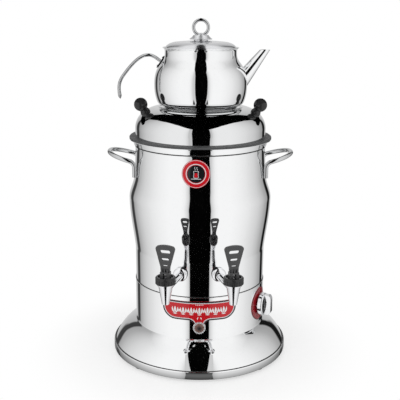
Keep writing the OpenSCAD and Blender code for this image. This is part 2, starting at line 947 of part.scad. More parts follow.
// tap on one side: x sideways, y back to the boiler, origin on the spout's axis
module at_tap(side) {
    rotate([0, 0, side * tap_angle])
        translate([0, -tap_reach, 0])
            children();
}

module along_arm() {
    translate([0, 0, z_tap]) rotate([-90, 0, 0]) children();
}

module tap_body(side) {
    arm_len = tap_reach - tap_seat;
    color(chrome)
        at_tap(side)
            difference() {
                union() {
                    rotate_extrude()
                        polygon([
                            [0, z_spout_end],
                            [spout_end_r, z_spout_end],
                            [spout_top_r, z_bonnet - 4],
                            [spout_top_r + 1.6, z_bonnet - 3],
                            [spout_top_r + 1.6, z_bonnet],
                            [thread_r, z_bonnet],
                            [thread_r, z_bonnet + thread_h],
                            [0, z_bonnet + thread_h]
                        ]);
                    along_arm() cylinder(h = arm_len, r = tap_arm_r);
                    along_arm()
                        translate([0, 0, arm_len - 5])
                            cylinder(h = 2, r1 = tap_arm_r, r2 = tap_flange_r);
                    along_arm() translate([0, 0, arm_len - 3]) cylinder(h = 3, r = tap_flange_r);
                    along_arm() translate([0, 0, arm_len]) cylinder(h = 16, r = tap_shank_r);
                }
                translate([0, 0, z_valve_seat]) cylinder(h = 60, r = chamber_r);
                translate([0, 0, z_spout_end - 1]) cylinder(h = 40, r = tap_bore_r);
                along_arm() cylinder(h = arm_len + 20, r = tap_bore_r);
            }
}

module tap_bonnet(side) {
    color(black_plastic)
        at_tap(side)
            difference() {
                translate([0, 0, z_bonnet])
                    rotate_extrude()
                        polygon([
                            [0, 0],
                            [bonnet_r - 1, 0],
                            [bonnet_r, 1],
                            [bonnet_r, bonnet_h - 1.6],
                            [bonnet_r - 1.6, bonnet_h],
                            [bonnet_r - 4, bonnet_h],
                            [bonnet_r - 5, bonnet_h - bonnet_recess],
                            [0, bonnet_h - bonnet_recess]
                        ]);
                translate([0, 0, z_bonnet - 1])
                    cylinder(h = 1 + z_ceiling - z_bonnet, r = thread_r + fit_gap);
                cylinder(h = z_pin, r = stem_r + run_gap);
                for (i = [0:flute_count - 1])
                    rotate([0, 0, i * 360 / flute_count])
                        translate([bonnet_r + 0.5, 0, z_bonnet - 1])
                            cylinder(h = bonnet_h - 3, r = 1.3);
            }
}

// the stem ends in a flat tongue between the two cheeks of the lever
module tap_stem(side) {
    z_foot = z_valve_seat + cup_h - cup_socket_h;
    z_tongue = z_recess + 1;
    color(steel)
        at_tap(side)
            difference() {
                union() {
                    translate([0, 0, z_foot]) cylinder(h = z_tongue - z_foot, r = stem_r);
                    translate([-tongue_w / 2, -tongue_d / 2, z_tongue - 0.5])
                        cube([tongue_w, tongue_d, tongue_h + 0.5]);
                }
                translate([-tongue_w, 0, z_pin])
                    rotate([0, 90, 0])
                        cylinder(h = 2 * tongue_w, r = pin_r + fit_gap);
            }
}

module tap_cup(side) {
    color(grey_rubber)
        at_tap(side)
            translate([0, 0, z_valve_seat])
                difference() {
                    cylinder(h = cup_h, r = cup_r);
                    translate([0, 0, cup_h - cup_socket_h - fit_gap])
                        cylinder(h = 2 * cup_socket_h, r = stem_r + fit_gap);
                }
}

spring_turns = 5;
spring_wire_r = 0.45;
spring_mean_r = 4;
spring_sides = 8;
spring_steps = 16;

// point j of the ring of points at step i along the coil
function coil_point(i, j, z0, z1) =
    let (
        turn = 360 * i / spring_steps,
        side = 360 * j / spring_sides,
        r = spring_mean_r + spring_wire_r * cos(side)
    )
    [
        r * cos(turn),
        r * sin(turn),
        z0 + (z1 - z0) * i / (spring_turns * spring_steps) + spring_wire_r * sin(side)
    ];

module coil(z0, z1) {
    rings = spring_turns * spring_steps + 1;
    vertices = [
        for (i = [0:rings - 1])
            for (j = [0:spring_sides - 1])
                coil_point(i, j, z0, z1)
    ];
    skin(vertices, rings, spring_sides);
}

module tap_spring(side) {
    color(steel)
        at_tap(side)
            coil(
                z_valve_seat + cup_h + spring_wire_r + 0.05,
                z_ceiling - spring_wire_r - 0.05
            );
}

module tap_pin(side) {
    color(chrome)
        at_tap(side)
            translate([-lever_foot_w / 2 + 0.5, 0, z_pin])
                rotate([0, 90, 0])
                    cylinder(h = lever_foot_w - 1, r = pin_r);
}

slot_rise = [0.78, 0.53, 0.32];
slot_w = [17.5, 13, 9];
slot_h = [6, 4.3, 2.5];
head_crown_r = 46;
head_corner_r = 5;
waist_w = 15;

// outline of the lever's blade, x sideways and y up from the pin
module blade_outline() {
    head_y = lever_h - head_corner_r - 1.6;
    side_x = lever_head_w / 2 - head_corner_r;
    crown_y = lever_h - head_crown_r;
    crown_half = asin((side_x + 1.5) / head_crown_r);
    half = concat(
        [[waist_w / 2, 2], [waist_w / 2 + 0.6, 14]],
        arc([side_x, head_y], head_corner_r, -12, 70, 8),
        arc([0, crown_y], head_crown_r, 90 - crown_half, 90, 5)
    );
    polygon(concat(half, reverse([for (p = half) [-p[0], p[1]]])));
}

module slot(w, h) {
    square([w - h, h], center = true);
    for (side = [-1, 1])
        translate([side * (w - h) / 2, 0])
            circle(d = h);
}

module tap_lever(side) {
    color(black_plastic)
        at_tap(side)
            translate([0, 0, z_pin])
                difference() {
                    union() {
                        rotate([90, 0, 0])
                            linear_extrude(height = blade_t, center = true)
                                difference() {
                                    blade_outline();
                                    for (i = [0:2])
                                        translate([0, slot_rise[i] * lever_h]) slot(slot_w[i], slot_h[i]);
                                }
                        translate([-lever_foot_w / 2, -cam_half, -cam_up])
                            cube([lever_foot_w, 2 * cam_half, cam_up + foot_up]);
                        for (i = [-1:1])
                            translate([i * rib_pitch - rib_t / 2, -cam_half, foot_up - 0.5])
                                cube([rib_t, 2 * cam_half, rib_h]);
                    }
                    translate([-stem_r - loose_gap, -cam_half - 1, -cam_up - 1])
                        cube([2 * (stem_r + loose_gap), 2 * cam_half + 2, cam_up + 1 + fork_up]);
                    translate([-lever_foot_w, 0, 0])
                        rotate([0, 90, 0])
                            cylinder(h = 2 * lever_foot_w, r = pin_r + run_gap);
                }
}

module tap_seals() {
    color(grey_rubber)
        for (side = [-1, 1]) {
            difference() {
                at_tap(side) along_arm()
                    translate([0, 0, tap_reach - tap_seat])
                        ring(tap_flange_r - 0.5, tap_shank_r + fit_gap, 4);
                translate([0, 0, z_tap - 30]) round_core(tank_tap_r + 0.4, 60);
            }
            intersection() {
                at_tap(side) along_arm()
                    translate([0, 0, tap_reach - tap_seat + 1])
                        ring(tap_flange_r - 1, tap_shank_r + fit_gap, nut_face - 1);
                translate([0, 0, z_tap - 30]) round_core(tank_tap_r - sheet_t - 0.4, 60);
            }
            at_tap(side)
                translate([0, 0, z_bonnet + thread_h])
                    ring(thread_r - 0.3, chamber_r, gasket_t);
        }
}

// how far behind a tap's seat the nut inside the boiler lies
nut_face = 5;

module tap_nuts() {
    color(brass)
        for (side = [-1, 1])
            at_tap(side) along_arm()
                translate([0, 0, tap_reach - tap_seat + nut_face])
                    difference() {
                        cylinder(h = 6, r = 12.5, $fn = 6);
                        translate([0, 0, -1]) cylinder(h = 8, r = tap_shank_r + fit_gap);
                    }
}

module left_tap_body() { tap_body(-1); }
module left_tap_bonnet() { tap_bonnet(-1); }
module left_tap_stem() { tap_stem(-1); }
module left_tap_cup() { tap_cup(-1); }
module left_tap_spring() { tap_spring(-1); }
module left_tap_pin() { tap_pin(-1); }
module left_tap_lever() { tap_lever(-1); }
module right_tap_body() { tap_body(1); }
module right_tap_bonnet() { tap_bonnet(1); }
module right_tap_stem() { tap_stem(1); }
module right_tap_cup() { tap_cup(1); }
module right_tap_spring() { tap_spring(1); }
module right_tap_pin() { tap_pin(1); }
module right_tap_lever() { tap_lever(1); }

// ---------- dome lid ----------

shoulder_angle = 59;
crown_end_angle = 83;
bead_round = 2;
z_shoulder = z_dome + dome_wall_h;
shoulder_centre = [dome_r - dome_shoulder_r, z_shoulder];
shoulder_end = shoulder_centre + dome_shoulder_r * [cos(shoulder_angle), sin(shoulder_angle)];
crown_centre = shoulder_end - dome_crown_r * [cos(shoulder_angle), sin(shoulder_angle)];
crown_end = crown_centre + dome_crown_r * [cos(crown_end_angle), sin(crown_end_angle)];
z_land = crown_end[1] - 0.5;
dome_path = concat(
    [[dome_r, z_lip_top - 8]],
    arc(shoulder_centre, dome_shoulder_r, 0, shoulder_angle, 14),
    drop_first(arc(crown_centre, dome_crown_r, shoulder_angle, crown_end_angle, 8)),
    arc([dome_bead_r, z_land], bead_round, 20, 180, 8),
    [[dome_hole_r, z_land], [dome_hole_r, z_land - 6]]
);

module dome_solid() {
    rotate_extrude()
        polygon(concat(
            [for (p = dome_path) if (p[0] > dome_bead_r - 10) p],
            [[0, z_land], [0, z_lip_top - 8]]
        ));
}

module at_balls() {
    for (turn = [-ball_angle, 180 + ball_angle])
        rotate([0, 0, turn])
            translate([shoulder_end[0], 0, shoulder_end[1]])
                rotate([0, 90 - shoulder_angle, 0])
                    children();
}

ball_screw_r = 2;

module dome_lid() {
    color(steel)
        difference() {
            spun_wall(dome_path, sheet_t);
            at_balls() translate([0, 0, -6]) cylinder(h = 12, r = ball_screw_r + fit_gap);
        }
}

module lid_seal() {
    sleeve_t = 2;
    color(grey_rubber)
        rotate_extrude()
            polygon([
                [dome_r + fit_gap, z_seal - 6],
                [dome_r + sleeve_t, z_seal - 6],
                [dome_r + sleeve_t, z_seal],
                [lip_r, z_seal],
                [lip_r, z_seal + seal_t - 0.8],
                [lip_r - 0.8, z_seal + seal_t],
                [dome_r + fit_gap, z_seal + seal_t]
            ]);
}

module ball_knobs() {
    neck = 4.8;
    color(black_plastic)
        difference() {
            at_balls()
                difference() {
                    union() {
                        translate([0, 0, ball_up]) sphere(r = ball_r);
                        translate([0, 0, -2]) cylinder(h = 4.5, r = 8.8);
                        translate([0, 0, 2.5]) cylinder(h = ball_up - 7, r1 = 8.8, r2 = neck);
                    }
                    translate([0, 0, -3]) cylinder(h = 15, r = ball_screw_r + fit_gap);
                }
            dome_solid();
        }
}

module ball_knob_screws() {
    color(chrome)
        at_balls() {
            translate([0, 0, -sheet_t - 1.9]) cylinder(h = 1.6, r = 4);
            translate([0, 0, -sheet_t - 1]) cylinder(h = 12, r = ball_screw_r);
        }
}

// ---------- teapot ----------

z_pot_disc = z_land;
z_pot = z_pot_disc + pot_disc_t;
z_pot_belly = z_pot + pot_belly_up;
z_pot_neck = z_pot_belly + pot_neck_up;
foot_round = 12;
rim_flare_r = 7;
rim_end_angle = 116;
pot_corner = arc([pot_foot_r, z_pot + foot_round], foot_round, -90, -20, 8);
pot_corner_end = pot_corner[8];
pot_mid = [pot_r - 6.8, z_pot_belly + 31];
pot_high = [pot_neck_r + 1.6, z_pot_neck - 10];
rim_centre = [pot_neck_r + rim_flare_r, z_pot_neck + pot_rim_h - rim_flare_r * sin(rim_end_angle)];
pot_path = concat(
    [[0, z_pot]],
    pot_corner,
    cubic(pot_corner_end, 0.36, [pot_r, z_pot_belly], 0, 10),
    cubic([pot_r, z_pot_belly], 0, pot_mid, -0.55, 10),
    cubic(pot_mid, -0.55, pot_high, -0.42, 6),
    cubic(pot_high, -0.42, [pot_neck_r, z_pot_neck], 0, 5),
    arc(rim_centre, rim_flare_r, 180, rim_end_angle, 6)
);
function pot_r_at(z) = lookup(z, [for (p = drop_first(pot_path)) [p[1], p[0]]]);
z_pot_rim = pot_path[len(pot_path) - 1][1];

module pot_solid(grow) {
    rotate_extrude()
        polygon(concat(
            [[0, z_pot]],
            shifted([for (p = pot_path) if (p[0] > 1) p], -grow),
            [[0, z_pot_rim]]
        ));
}

z_pour_tip = z_pot + pour_tip_up;
pour_len = 145;
pour_stop = 55;
z_pour_mouth = z_pot + pour_mouth_up;

// cone of the spout, from inside the belly towards its imaginary tip
module pour_cone(shrink) {
    wide = pour_len * pour_taper - shrink;
    narrow = pour_stop * pour_taper - shrink;
    translate([pour_tip_r, 0, z_pour_tip])
        rotate([0, 90 - pour_slope, 0])
            translate([0, 0, -pour_len])
                cylinder(h = pour_len - pour_stop, r1 = wide, r2 = narrow);
}

module pot_body() {
    color(steel)
        difference() {
            spun_wall(pot_path, sheet_t);
            intersection() {
                pour_cone(sheet_t);
                translate([pot_r - 24, -20, z_pot]) cube([60, 40, 75]);
            }
            rivet_holes();
        }
}

module pot_disc() {
    color(steel)
        translate([0, 0, z_pot_disc])
            rotate_extrude()
                polygon([
                    [0, 0],
                    [pot_foot_r - 2.5, 0],
                    [pot_foot_r - 1.5, 1],
                    [pot_foot_r - 1.5, pot_disc_t],
                    [0, pot_disc_t]
                ]);
}

module pot_spout() {
    color(steel)
        difference() {
            intersection() {
                difference() {
                    pour_cone(0);
                    pour_cone(sheet_t);
                }
                translate([0, -30, z_pot]) cube([2 * pour_tip_r, 60, z_pour_mouth - z_pot]);
            }
            pot_solid(fit_gap);
        }
}

z_bracket = z_pot_neck - 16.5;
bracket_pitch = 7;
rivet_r = 1.6;
rivet_in = 4;
bracket_t = 2.2;
bracket_half_h = 10;
bracket_half_w = 8;
strap_root_x = -pot_r_at(z_bracket);

// local z runs outwards from the teapot's wall at each rivet
module at_rivets() {
    facing(-90, z_bracket)
        for (x = [-bracket_pitch, bracket_pitch])
            translate([x, 0, pot_r_at(z_bracket - x)])
                children();
}

module rivet_holes() {
    at_rivets() translate([0, 0, -4 * rivet_in]) cylinder(h = 8 * rivet_in, r = rivet_r + fit_gap);
}

// cubic Bezier curve through four control points
function bezier(a, b, c, d, n) = [
    for (i = [0:n])
        let (t = i / n, s = 1 - t)
        s * s * s * a + 3 * s * s * t * b + 3 * s * t * t * c + t * t * t * d
];

// middle line of the teapot's handle, in [x, z]
strap_root = [strap_root_x, z_bracket + 1];
strap_crest = [-97, z_pot_neck - 5.2];
strap_knee = [-strap_reach + 7, z_pot_neck - 42];
strap_end = [-strap_reach + 1.5, z_pot_neck - 83];
strap_line = concat(
    bezier(strap_root, strap_root + [-9, 6], strap_crest + [11, 1.5], strap_crest, 8),
    drop_first(bezier(strap_crest, strap_crest + [-14, -2], strap_knee + [13, 18], strap_knee, 12)),
    drop_first(bezier(strap_knee, strap_knee + [-10, -14], strap_end + [-2.5, 16], strap_end, 10))
);

// the handle's root is cut to the face of its bracket
module pot_handle() {
    color(steel)
        difference() {
            translate([0, strap_w / 2, 0])
                rotate([90, 0, 0])
                    linear_extrude(height = strap_w)
                        polygon(concat(
                            shifted(strap_line, strap_t / 2),
                            reverse(shifted(strap_line, -strap_t / 2))
                        ));
            pot_solid(2 * fit_gap + bracket_t);
        }
}

// curved pad between the handle's root and the neck of the teapot
module pot_bracket() {
    color(steel)
        difference() {
            intersection() {
                pot_solid(fit_gap + bracket_t);
                facing(-90, z_bracket)
                    translate([-bracket_half_h, -bracket_half_w, 0])
                        cube([2 * bracket_half_h, 2 * bracket_half_w, 2 * pot_r]);
            }
            pot_solid(fit_gap);
            rivet_holes();
        }
}

module pot_rivets() {
    color(steel)
        at_rivets() {
            translate([0, 0, -rivet_in]) cylinder(h = rivet_in + bracket_t + 1.2, r = rivet_r);
            translate([0, 0, -rivet_in - 0.6]) cylinder(h = 1.4, r = 3);
        }
}

// ---------- teapot lid ----------

z_lid_edge = z_pot_rim - 0.2;
// the lid's edge rests inside the flare of the rim
lid_seat_r = rim_flare_r + sheet_t + loose_gap;
lid_seat_h = z_lid_edge - sheet_t - rim_centre[1];
lid_edge_r = rim_centre[0] - sqrt(lid_seat_r * lid_seat_r - lid_seat_h * lid_seat_h);
lid_bend_r = pot_neck_r - 1.2;
crown_cap_r = 420;
z_crown = z_pot_rim + pot_lid_h;
crown_half = 48;
z_crown_edge = z_crown - crown_cap_r + sqrt(pow(crown_cap_r, 2) - pow(crown_half, 2));
cap_screw_r = 2;
pot_lid_path = concat(
    [[lid_edge_r, z_lid_edge]],
    [[lid_bend_r + 1, z_lid_edge]],
    cubic([lid_bend_r, z_lid_edge + 0.6], -0.35, [crown_half + 6, z_crown_edge - 1.8], -2.4, 8),
    arc([0, z_crown - crown_cap_r], crown_cap_r, 90 - asin(crown_half / crown_cap_r), 89.5, 8),
    [[0, z_crown - crown_cap_r + crown_cap_r * sin(89.5)]]
);

module pot_lid() {
    plug_r = pot_neck_r - sheet_t - 0.8;
    color(steel)
        difference() {
            union() {
                spun_wall(pot_lid_path, sheet_t);
                translate([0, 0, z_lid_edge - 8]) ring(plug_r, plug_r - sheet_t, 10);
            }
            translate([0, 0, z_crown - 10]) cylinder(h = 20, r = cap_screw_r + fit_gap);
        }
}

cap_neck_r = 12.6;
cap_neck_h = 1.4;
cap_h = 12;
cap_top_r = 14.4;
ring_sunk = 6.7;
z_cap = z_crown;
z_ring = z_cap + cap_neck_h + cap_h + ring_r - ring_sunk;

module ring_torus(grow) {
    translate([0, 0, z_ring])
        rotate([90, 0, 0])
            rotate_extrude()
                translate([ring_r - ring_rod_r, 0])
                    circle(r = ring_rod_r + grow);
}

module pot_lid_cap() {
    color(chrome)
        difference() {
            translate([0, 0, z_cap])
                rotate_extrude()
                    polygon(concat(
                        [[0, 0], [cap_neck_r, 0], [cap_neck_r, cap_neck_h]],
                        [[cap_r, cap_neck_h + 0.8], [cap_r, cap_neck_h + 1.6]],
                        [[cap_neck_r + 1, cap_neck_h + 8]],
                        arc([0, cap_neck_h + cap_h - cap_top_r], cap_top_r, 51, 90, 6)
                    ));
            ring_torus(fit_gap);
            translate([0, 0, z_cap - 1]) cylinder(h = 7, r = cap_screw_r + fit_gap);
        }
}

module pot_lid_ring() {
    color(chrome) ring_torus(0);
}

module pot_lid_screw() {
    color(chrome) {
        translate([0, 0, z_crown - sheet_t - 1.7]) cylinder(h = 1.6, r = 4);
        translate([0, 0, z_crown - sheet_t - 1]) cylinder(h = 5.5, r = cap_screw_r);
    }
}

base_skirt();
base_shell();
base_plate();
feet();
foot_screws();
tank();
tank_floor();
heating_element();
element_seals();
element_nuts();
thermal_cutout();
capillary();
terminal_block();
power_inlet();
inlet_pins();
wiring();
thermostat_body();
thermostat_screws();
thermostat_shaft();
thermostat_knob();
dial_plate();
lamp_bezel();
lamp_lens();
lamp_body();
name_plate();
badge();
side_handle_left();
side_handle_right();
tap_seals();
tap_nuts();
left_tap_body();
left_tap_bonnet();
left_tap_stem();
left_tap_cup();
left_tap_spring();
left_tap_pin();
left_tap_lever();
right_tap_body();
right_tap_bonnet();
right_tap_stem();
right_tap_cup();
right_tap_spring();
right_tap_pin();
right_tap_lever();
dome_lid();
lid_seal();
ball_knobs();
ball_knob_screws();
pot_body();
pot_disc();
pot_spout();
pot_handle();
pot_bracket();
pot_rivets();
pot_lid();
pot_lid_cap();
pot_lid_ring();
pot_lid_screw();
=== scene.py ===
"""Polished steel samovar: finishes, printed plates, studio and camera.

The rigid shapes come from the frame. This file gives every node its material, draws
the spun bodies and the bent handles again with smooth curves, adds the printed
borders, ornaments and dial marks as thin raised strips, rounds the edges of the
plastic and chrome fittings, and sets up a white studio whose two tall soft boxes
leave a dark gap between them, as polished steel needs. Lengths of the object are
written in millimetres and turned into metres by the constant MM; those of the
camera and the stage are in metres.
"""

import json
import math

import bmesh
import bpy
import numpy as np
from mathutils import Matrix, Vector


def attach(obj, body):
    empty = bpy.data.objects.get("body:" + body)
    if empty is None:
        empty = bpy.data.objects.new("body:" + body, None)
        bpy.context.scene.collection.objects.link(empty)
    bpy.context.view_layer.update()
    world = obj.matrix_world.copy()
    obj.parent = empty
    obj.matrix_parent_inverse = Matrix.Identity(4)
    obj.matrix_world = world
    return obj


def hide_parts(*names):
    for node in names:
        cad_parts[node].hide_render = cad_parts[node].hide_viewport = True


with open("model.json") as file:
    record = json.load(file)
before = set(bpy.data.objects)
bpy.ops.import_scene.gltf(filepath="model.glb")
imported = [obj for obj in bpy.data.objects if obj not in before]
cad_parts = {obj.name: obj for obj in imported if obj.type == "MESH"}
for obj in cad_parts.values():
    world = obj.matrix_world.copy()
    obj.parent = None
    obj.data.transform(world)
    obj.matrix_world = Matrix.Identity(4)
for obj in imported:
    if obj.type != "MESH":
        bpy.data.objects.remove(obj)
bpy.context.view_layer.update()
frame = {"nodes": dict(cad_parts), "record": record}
NODES = frame["nodes"]
MM = 0.001


# ---------- sizes shared with the frame, in millimetres ----------

SHEET = 0.8
FIT = 0.05
BASE_R, RIM_TOP, RIM_LIP, FOOT_H = 164.0, 18.5, 27.0, 4.0
RIM_FOOT, RIM_CORNER, RIM_LEDGE = 1.5, 1.6, 3.5
FLARE_R, FLARE_SLOPE, FLARE_FILLET, CREASE_R = 96.0, 31.0, 6.0, 1.2
SHELL_R, SHELL_BOTTOM, SEAM_Z = 121.0, 65.0, 140.4
TANK_R, STRAIGHT_Z, BELLY_R, BELLY_Z = 120.1, 202.8, 130.6, 297.0
NECK_R, NECK_Z, LIP_Z, LIP_R, LIP_TOP = 118.4, 335.0, 391.0, 129.0, 405.1
DOME_R, SHOULDER_Z, SHOULDER_R, CROWN_R = 118.3, 423.1, 36.0, 60.0
BEAD_R, HOLE_R = 74.6, 60.0
SHOULDER_TURN, CROWN_TURN = 59.0, 83.0
DISC_T, POT_FOOT_R, POT_R, POT_NECK_R = 3.5, 67.5, 83.3, 64.2
POT_BELLY_UP, POT_NECK_UP, POT_RIM_H, POT_FLARE, FLARE_END = 36.0, 57.0, 8.3, 7.0, 116
LID_UP, LID_CROWN_R, LID_FLAT = 12.4, 420.0, 48.0
PLATE_T = 0.8
PLATE_R = SHELL_R + FIT + PLATE_T
NAME_HALF_W, NAME_H, NAME_TOP = 65.0, 35.0, SEAM_Z - 7.4
LAMP_Z, BEZEL_R = 84.8, 11.0
BADGE_X, BADGE_Z = -7.0, NECK_Z + 27.8
DIAL_TURN, DIAL_Z, DIAL_R = 66.5, 102.8, 31.0
KNOB_FACE = SHELL_R + PLATE_T + FIT + 1.8 + 21.4
ROD_R, HANDLE_HALF_W, HANDLE_REACH, HANDLE_RISE = 4.0, 42.0, 165.74, 16.0
HANDLE_CORNER, HANDLE_BEND, HANDLE_LEG, HANDLE_UP = 40.0, 12.0, 17.7, 4.4
STRAP_REACH, STRAP_HALF_W = 146.0, 6.5
TAP_TURN, TAP_Z, FLANGE_BACK, FLANGE_R, ARM_R = 16.0, SEAM_Z + 42.6, 121.5, 12.5, 6.0
ROSE_H, ROSE_SIDES = 5.0, 72


# ---------- camera and stage ----------

CAMERA_PLACE = (0.0, -1.3931, 0.6397)
CAMERA_PITCH = 14.19
CAMERA_ROLL = -0.33
CAMERA_LENS, SENSOR_W = 69.41, 36
FLOOR_R = 0.45
FLAG_Z = 0.480
FLAG_TURNS = (0, 11, 25, 35, 42, 60, 75, 80, 90, 95, 108, 125)
FLAG_INNER = (0.082, 0.082, 0.081, 0.08, 0.081, 0.086, 0.1, 0.106, 0.12, 0.13, 0.153, 0.17)
FLAG_OUTER = (0.17, 0.166, 0.138, 0.128, 0.124, 0.122, 0.131, 0.137, 0.168, 0.22, 0.33, 0.17)


def placed(name, data):
    """A new object in the scene, made from its data."""
    thing = bpy.data.objects.new(name, data)
    bpy.context.scene.collection.objects.link(thing)
    return thing


def make_camera():
    """A long lens a little above the object, pitched down to its middle."""
    data = bpy.data.cameras.new("camera")
    data.lens = CAMERA_LENS
    data.sensor_width = SENSOR_W
    data.clip_start, data.clip_end = 0.05, 20
    camera = placed("camera", data)
    camera.location = CAMERA_PLACE
    turn = Matrix.Rotation(math.radians(90 - CAMERA_PITCH), 3, "X") @ Matrix.Rotation(
        math.radians(-CAMERA_ROLL), 3, "Z"
    )
    camera.rotation_euler = turn.to_euler()
    bpy.context.scene.camera = camera


# ---------- shader helpers ----------


def feed(tree, node, inputs):
    """Gives each input of a node a value or another node's output socket."""
    for key, value in inputs.items():
        if isinstance(value, bpy.types.NodeSocket):
            tree.links.new(value, node.inputs[key])
        else:
            node.inputs[key].default_value = value


def put(tree, kind, inputs=None, **settings):
    """Adds a node with its settings and inputs."""
    node = tree.nodes.new("ShaderNode" + kind)
    for key, value in settings.items():
        setattr(node, key, value)
    feed(tree, node, inputs or {})
    return node


def calc(tree, operation, a, b=0.0, clamp=False):
    """One Math node on two values or sockets."""
    return put(tree, "Math", {0: a, 1: b}, operation=operation, use_clamp=clamp).outputs[0]


def hypotenuse(tree, a, b):
    """Root of the sum of two squares."""
    return calc(tree, "SQRT", calc(tree, "ADD", calc(tree, "MULTIPLY", a, a), calc(tree, "MULTIPLY", b, b)))


def rescaled(tree, value, low, high, new_low, new_high, **settings):
    """Carries a value from one range to another and holds it at both ends."""
    return put(tree, "MapRange", {0: value, 1: low, 2: high, 3: new_low, 4: new_high}, **settings).outputs[0]


def blended(tree, share, first, second, **settings):
    """Two colours mixed by a share."""
    return put(tree, "Mix", {0: share, 6: first, 7: second}, data_type="RGBA", **settings).outputs[2]


def either(tree, share, first, second):
    """Two shaders mixed by a share."""
    return put(tree, "MixShader", {0: share, 1: first.outputs[0], 2: second.outputs[0]})


def seen_directly(tree, path):
    """1 for rays that come from the camera, also through clear material, otherwise 0."""
    return calc(tree, "MAXIMUM", path.outputs["Is Camera Ray"], path.outputs["Is Transmission Ray"])


def ramp(tree, factor, stops):
    """A Color Ramp with stops of (position, grey)."""
    node = put(tree, "ValToRGB", {0: factor})
    elements = node.color_ramp.elements
    while len(elements) < len(stops):
        elements.new(0.5)
    for element, (position, grey) in zip(elements, stops):
        element.position = position
        element.color = (grey, grey, grey, 1)
    return node.outputs[0]


def new_group(name, inputs, outputs):
    """An empty shader group with float or vector inputs and float or colour outputs."""
    group = bpy.data.node_groups.new(name, "ShaderNodeTree")
    for label, kind, value in inputs:
        socket = group.interface.new_socket(label, in_out="INPUT", socket_type="NodeSocket" + kind)
        if value is not None:
            socket.default_value = value
    for label, kind in outputs:
        group.interface.new_socket(label, in_out="OUTPUT", socket_type="NodeSocket" + kind)
    return group, group.nodes.new("NodeGroupInput"), group.nodes.new("NodeGroupOutput")


def use_group(tree, group, inputs):
    """Places a group in a material with its own values; returns its outputs."""
    return put(tree, "Group", inputs, node_tree=group).outputs


def wiped_film_group():
    """Handling film on polished metal: two noises, one of broad wipes and one of fine
    smudges, give a roughness between two limits and a very low height."""
    group, given, out = new_group(
        "wiped_film",
        [("Place", "Vector", None), ("Low", "Float", 0.03), ("High", "Float", 0.08), ("Size", "Float", 1.0)],
        [("Roughness", "Float"), ("Height", "Float"), ("Mask", "Float")],
    )
    place, low, high, size = (given.outputs[name] for name in ("Place", "Low", "High", "Size"))
    broad, fine = (
        put(group, "TexNoise", {
            "Vector": place, "Scale": calc(group, "MULTIPLY", size, scale),
            "Detail": detail, "Roughness": rough,
        }).outputs[0]
        for scale, detail, rough in ((9.0, 3.0, 0.55), (160.0, 4.0, 0.6))
    )
    mask = rescaled(group, calc(group, "MULTIPLY", broad, fine), 0.16, 0.4, 0.0, 1.0)
    feed(group, out, {
        "Roughness": rescaled(group, mask, 0.0, 1.0, low, high), "Height": broad, "Mask": mask,
    })
    return group


def turned_lines_group():
    """Fine lines left by spinning and brushing, round the Z axis: a noise of the radius
    and the height alone, so that it is the same all the way round."""
    group, given, out = new_group(
        "turned_lines",
        [("Place", "Vector", None), ("Scale", "Float", 900.0)],
        [("Height", "Float"), ("Tint", "Float")],
    )
    x, y, z = put(group, "SeparateXYZ", {0: given.outputs["Place"]}).outputs
    place = put(group, "CombineXYZ", {0: hypotenuse(group, x, y), 1: 0.0, 2: z}).outputs[0]
    scale = given.outputs["Scale"]
    lines = put(group, "TexNoise", {"Vector": place, "Scale": scale, "Detail": 3.0}).outputs[0]
    feed(group, out, {"Height": lines, "Tint": rescaled(group, lines, 0.3, 0.7, 0.88, 1.0)})
    return group


def moulded_skin_group():
    """Skin of moulded plastic and rubber: a fine cellular grain over slow waves, and a
    mask of slightly duller, rubbed patches."""
    group, given, out = new_group(
        "moulded_skin",
        [("Place", "Vector", None), ("Grain", "Float", 2200.0)],
        [("Height", "Float"), ("Rubbed", "Float")],
    )
    place = given.outputs["Place"]
    cells = put(group, "TexVoronoi", {"Vector": place, "Scale": given.outputs["Grain"]})
    waves = put(group, "TexNoise", {"Vector": place, "Scale": 120.0, "Detail": 2.0}).outputs[0]
    height = calc(group, "ADD", calc(group, "MULTIPLY", cells.outputs["Distance"], 0.35), waves)
    feed(group, out, {"Height": height, "Rubbed": rescaled(group, waves, 0.35, 0.7, 0.0, 1.0)})
    return group


WIPED_FILM = wiped_film_group()
TURNED_LINES = turned_lines_group()
MOULDED_SKIN = moulded_skin_group()


def surface(name, **sockets):
    """A material with a Principled BSDF; returns the material, its tree, the shader and
    the Object coordinates."""
    material = bpy.data.materials.new(name)
    material.use_nodes = True
    tree = material.node_tree
    shader = tree.nodes["Principled BSDF"]
    for key, value in sockets.items():
        shader.inputs[key.replace("_", " ")].default_value = value
    return material, tree, shader, put(tree, "TexCoord").outputs["Object"]


def bump(tree, shader, height, distance):
    """Feeds a height, in metres per unit, to the shader's normal."""
    node = put(tree, "Bump", {"Height": height, "Distance": distance, "Strength": 1.0})
    feed(tree, shader, {"Normal": node.outputs[0]})


def tinted(tree, shader, colour, dark, mask):
    """Base colour that goes from one colour to a slightly different one by a mask."""
    feed(tree, shader, {"Base Color": blended(tree, mask, (*colour, 1), (*dark, 1))})


def polished_metal(name, colour, low, high, wave):
    """Mirror-polished metal with a faint film of handling and a faint waviness."""
    material, tree, shader, place = surface(name, Metallic=1.0)
    film = use_group(tree, WIPED_FILM, {"Place": place, "Low": low, "High": high})
    feed(tree, shader, {"Roughness": film["Roughness"]})
    tinted(tree, shader, colour, tuple(c * 0.985 for c in colour), film["Mask"])
    bump(tree, shader, film["Height"], wave)
    return material


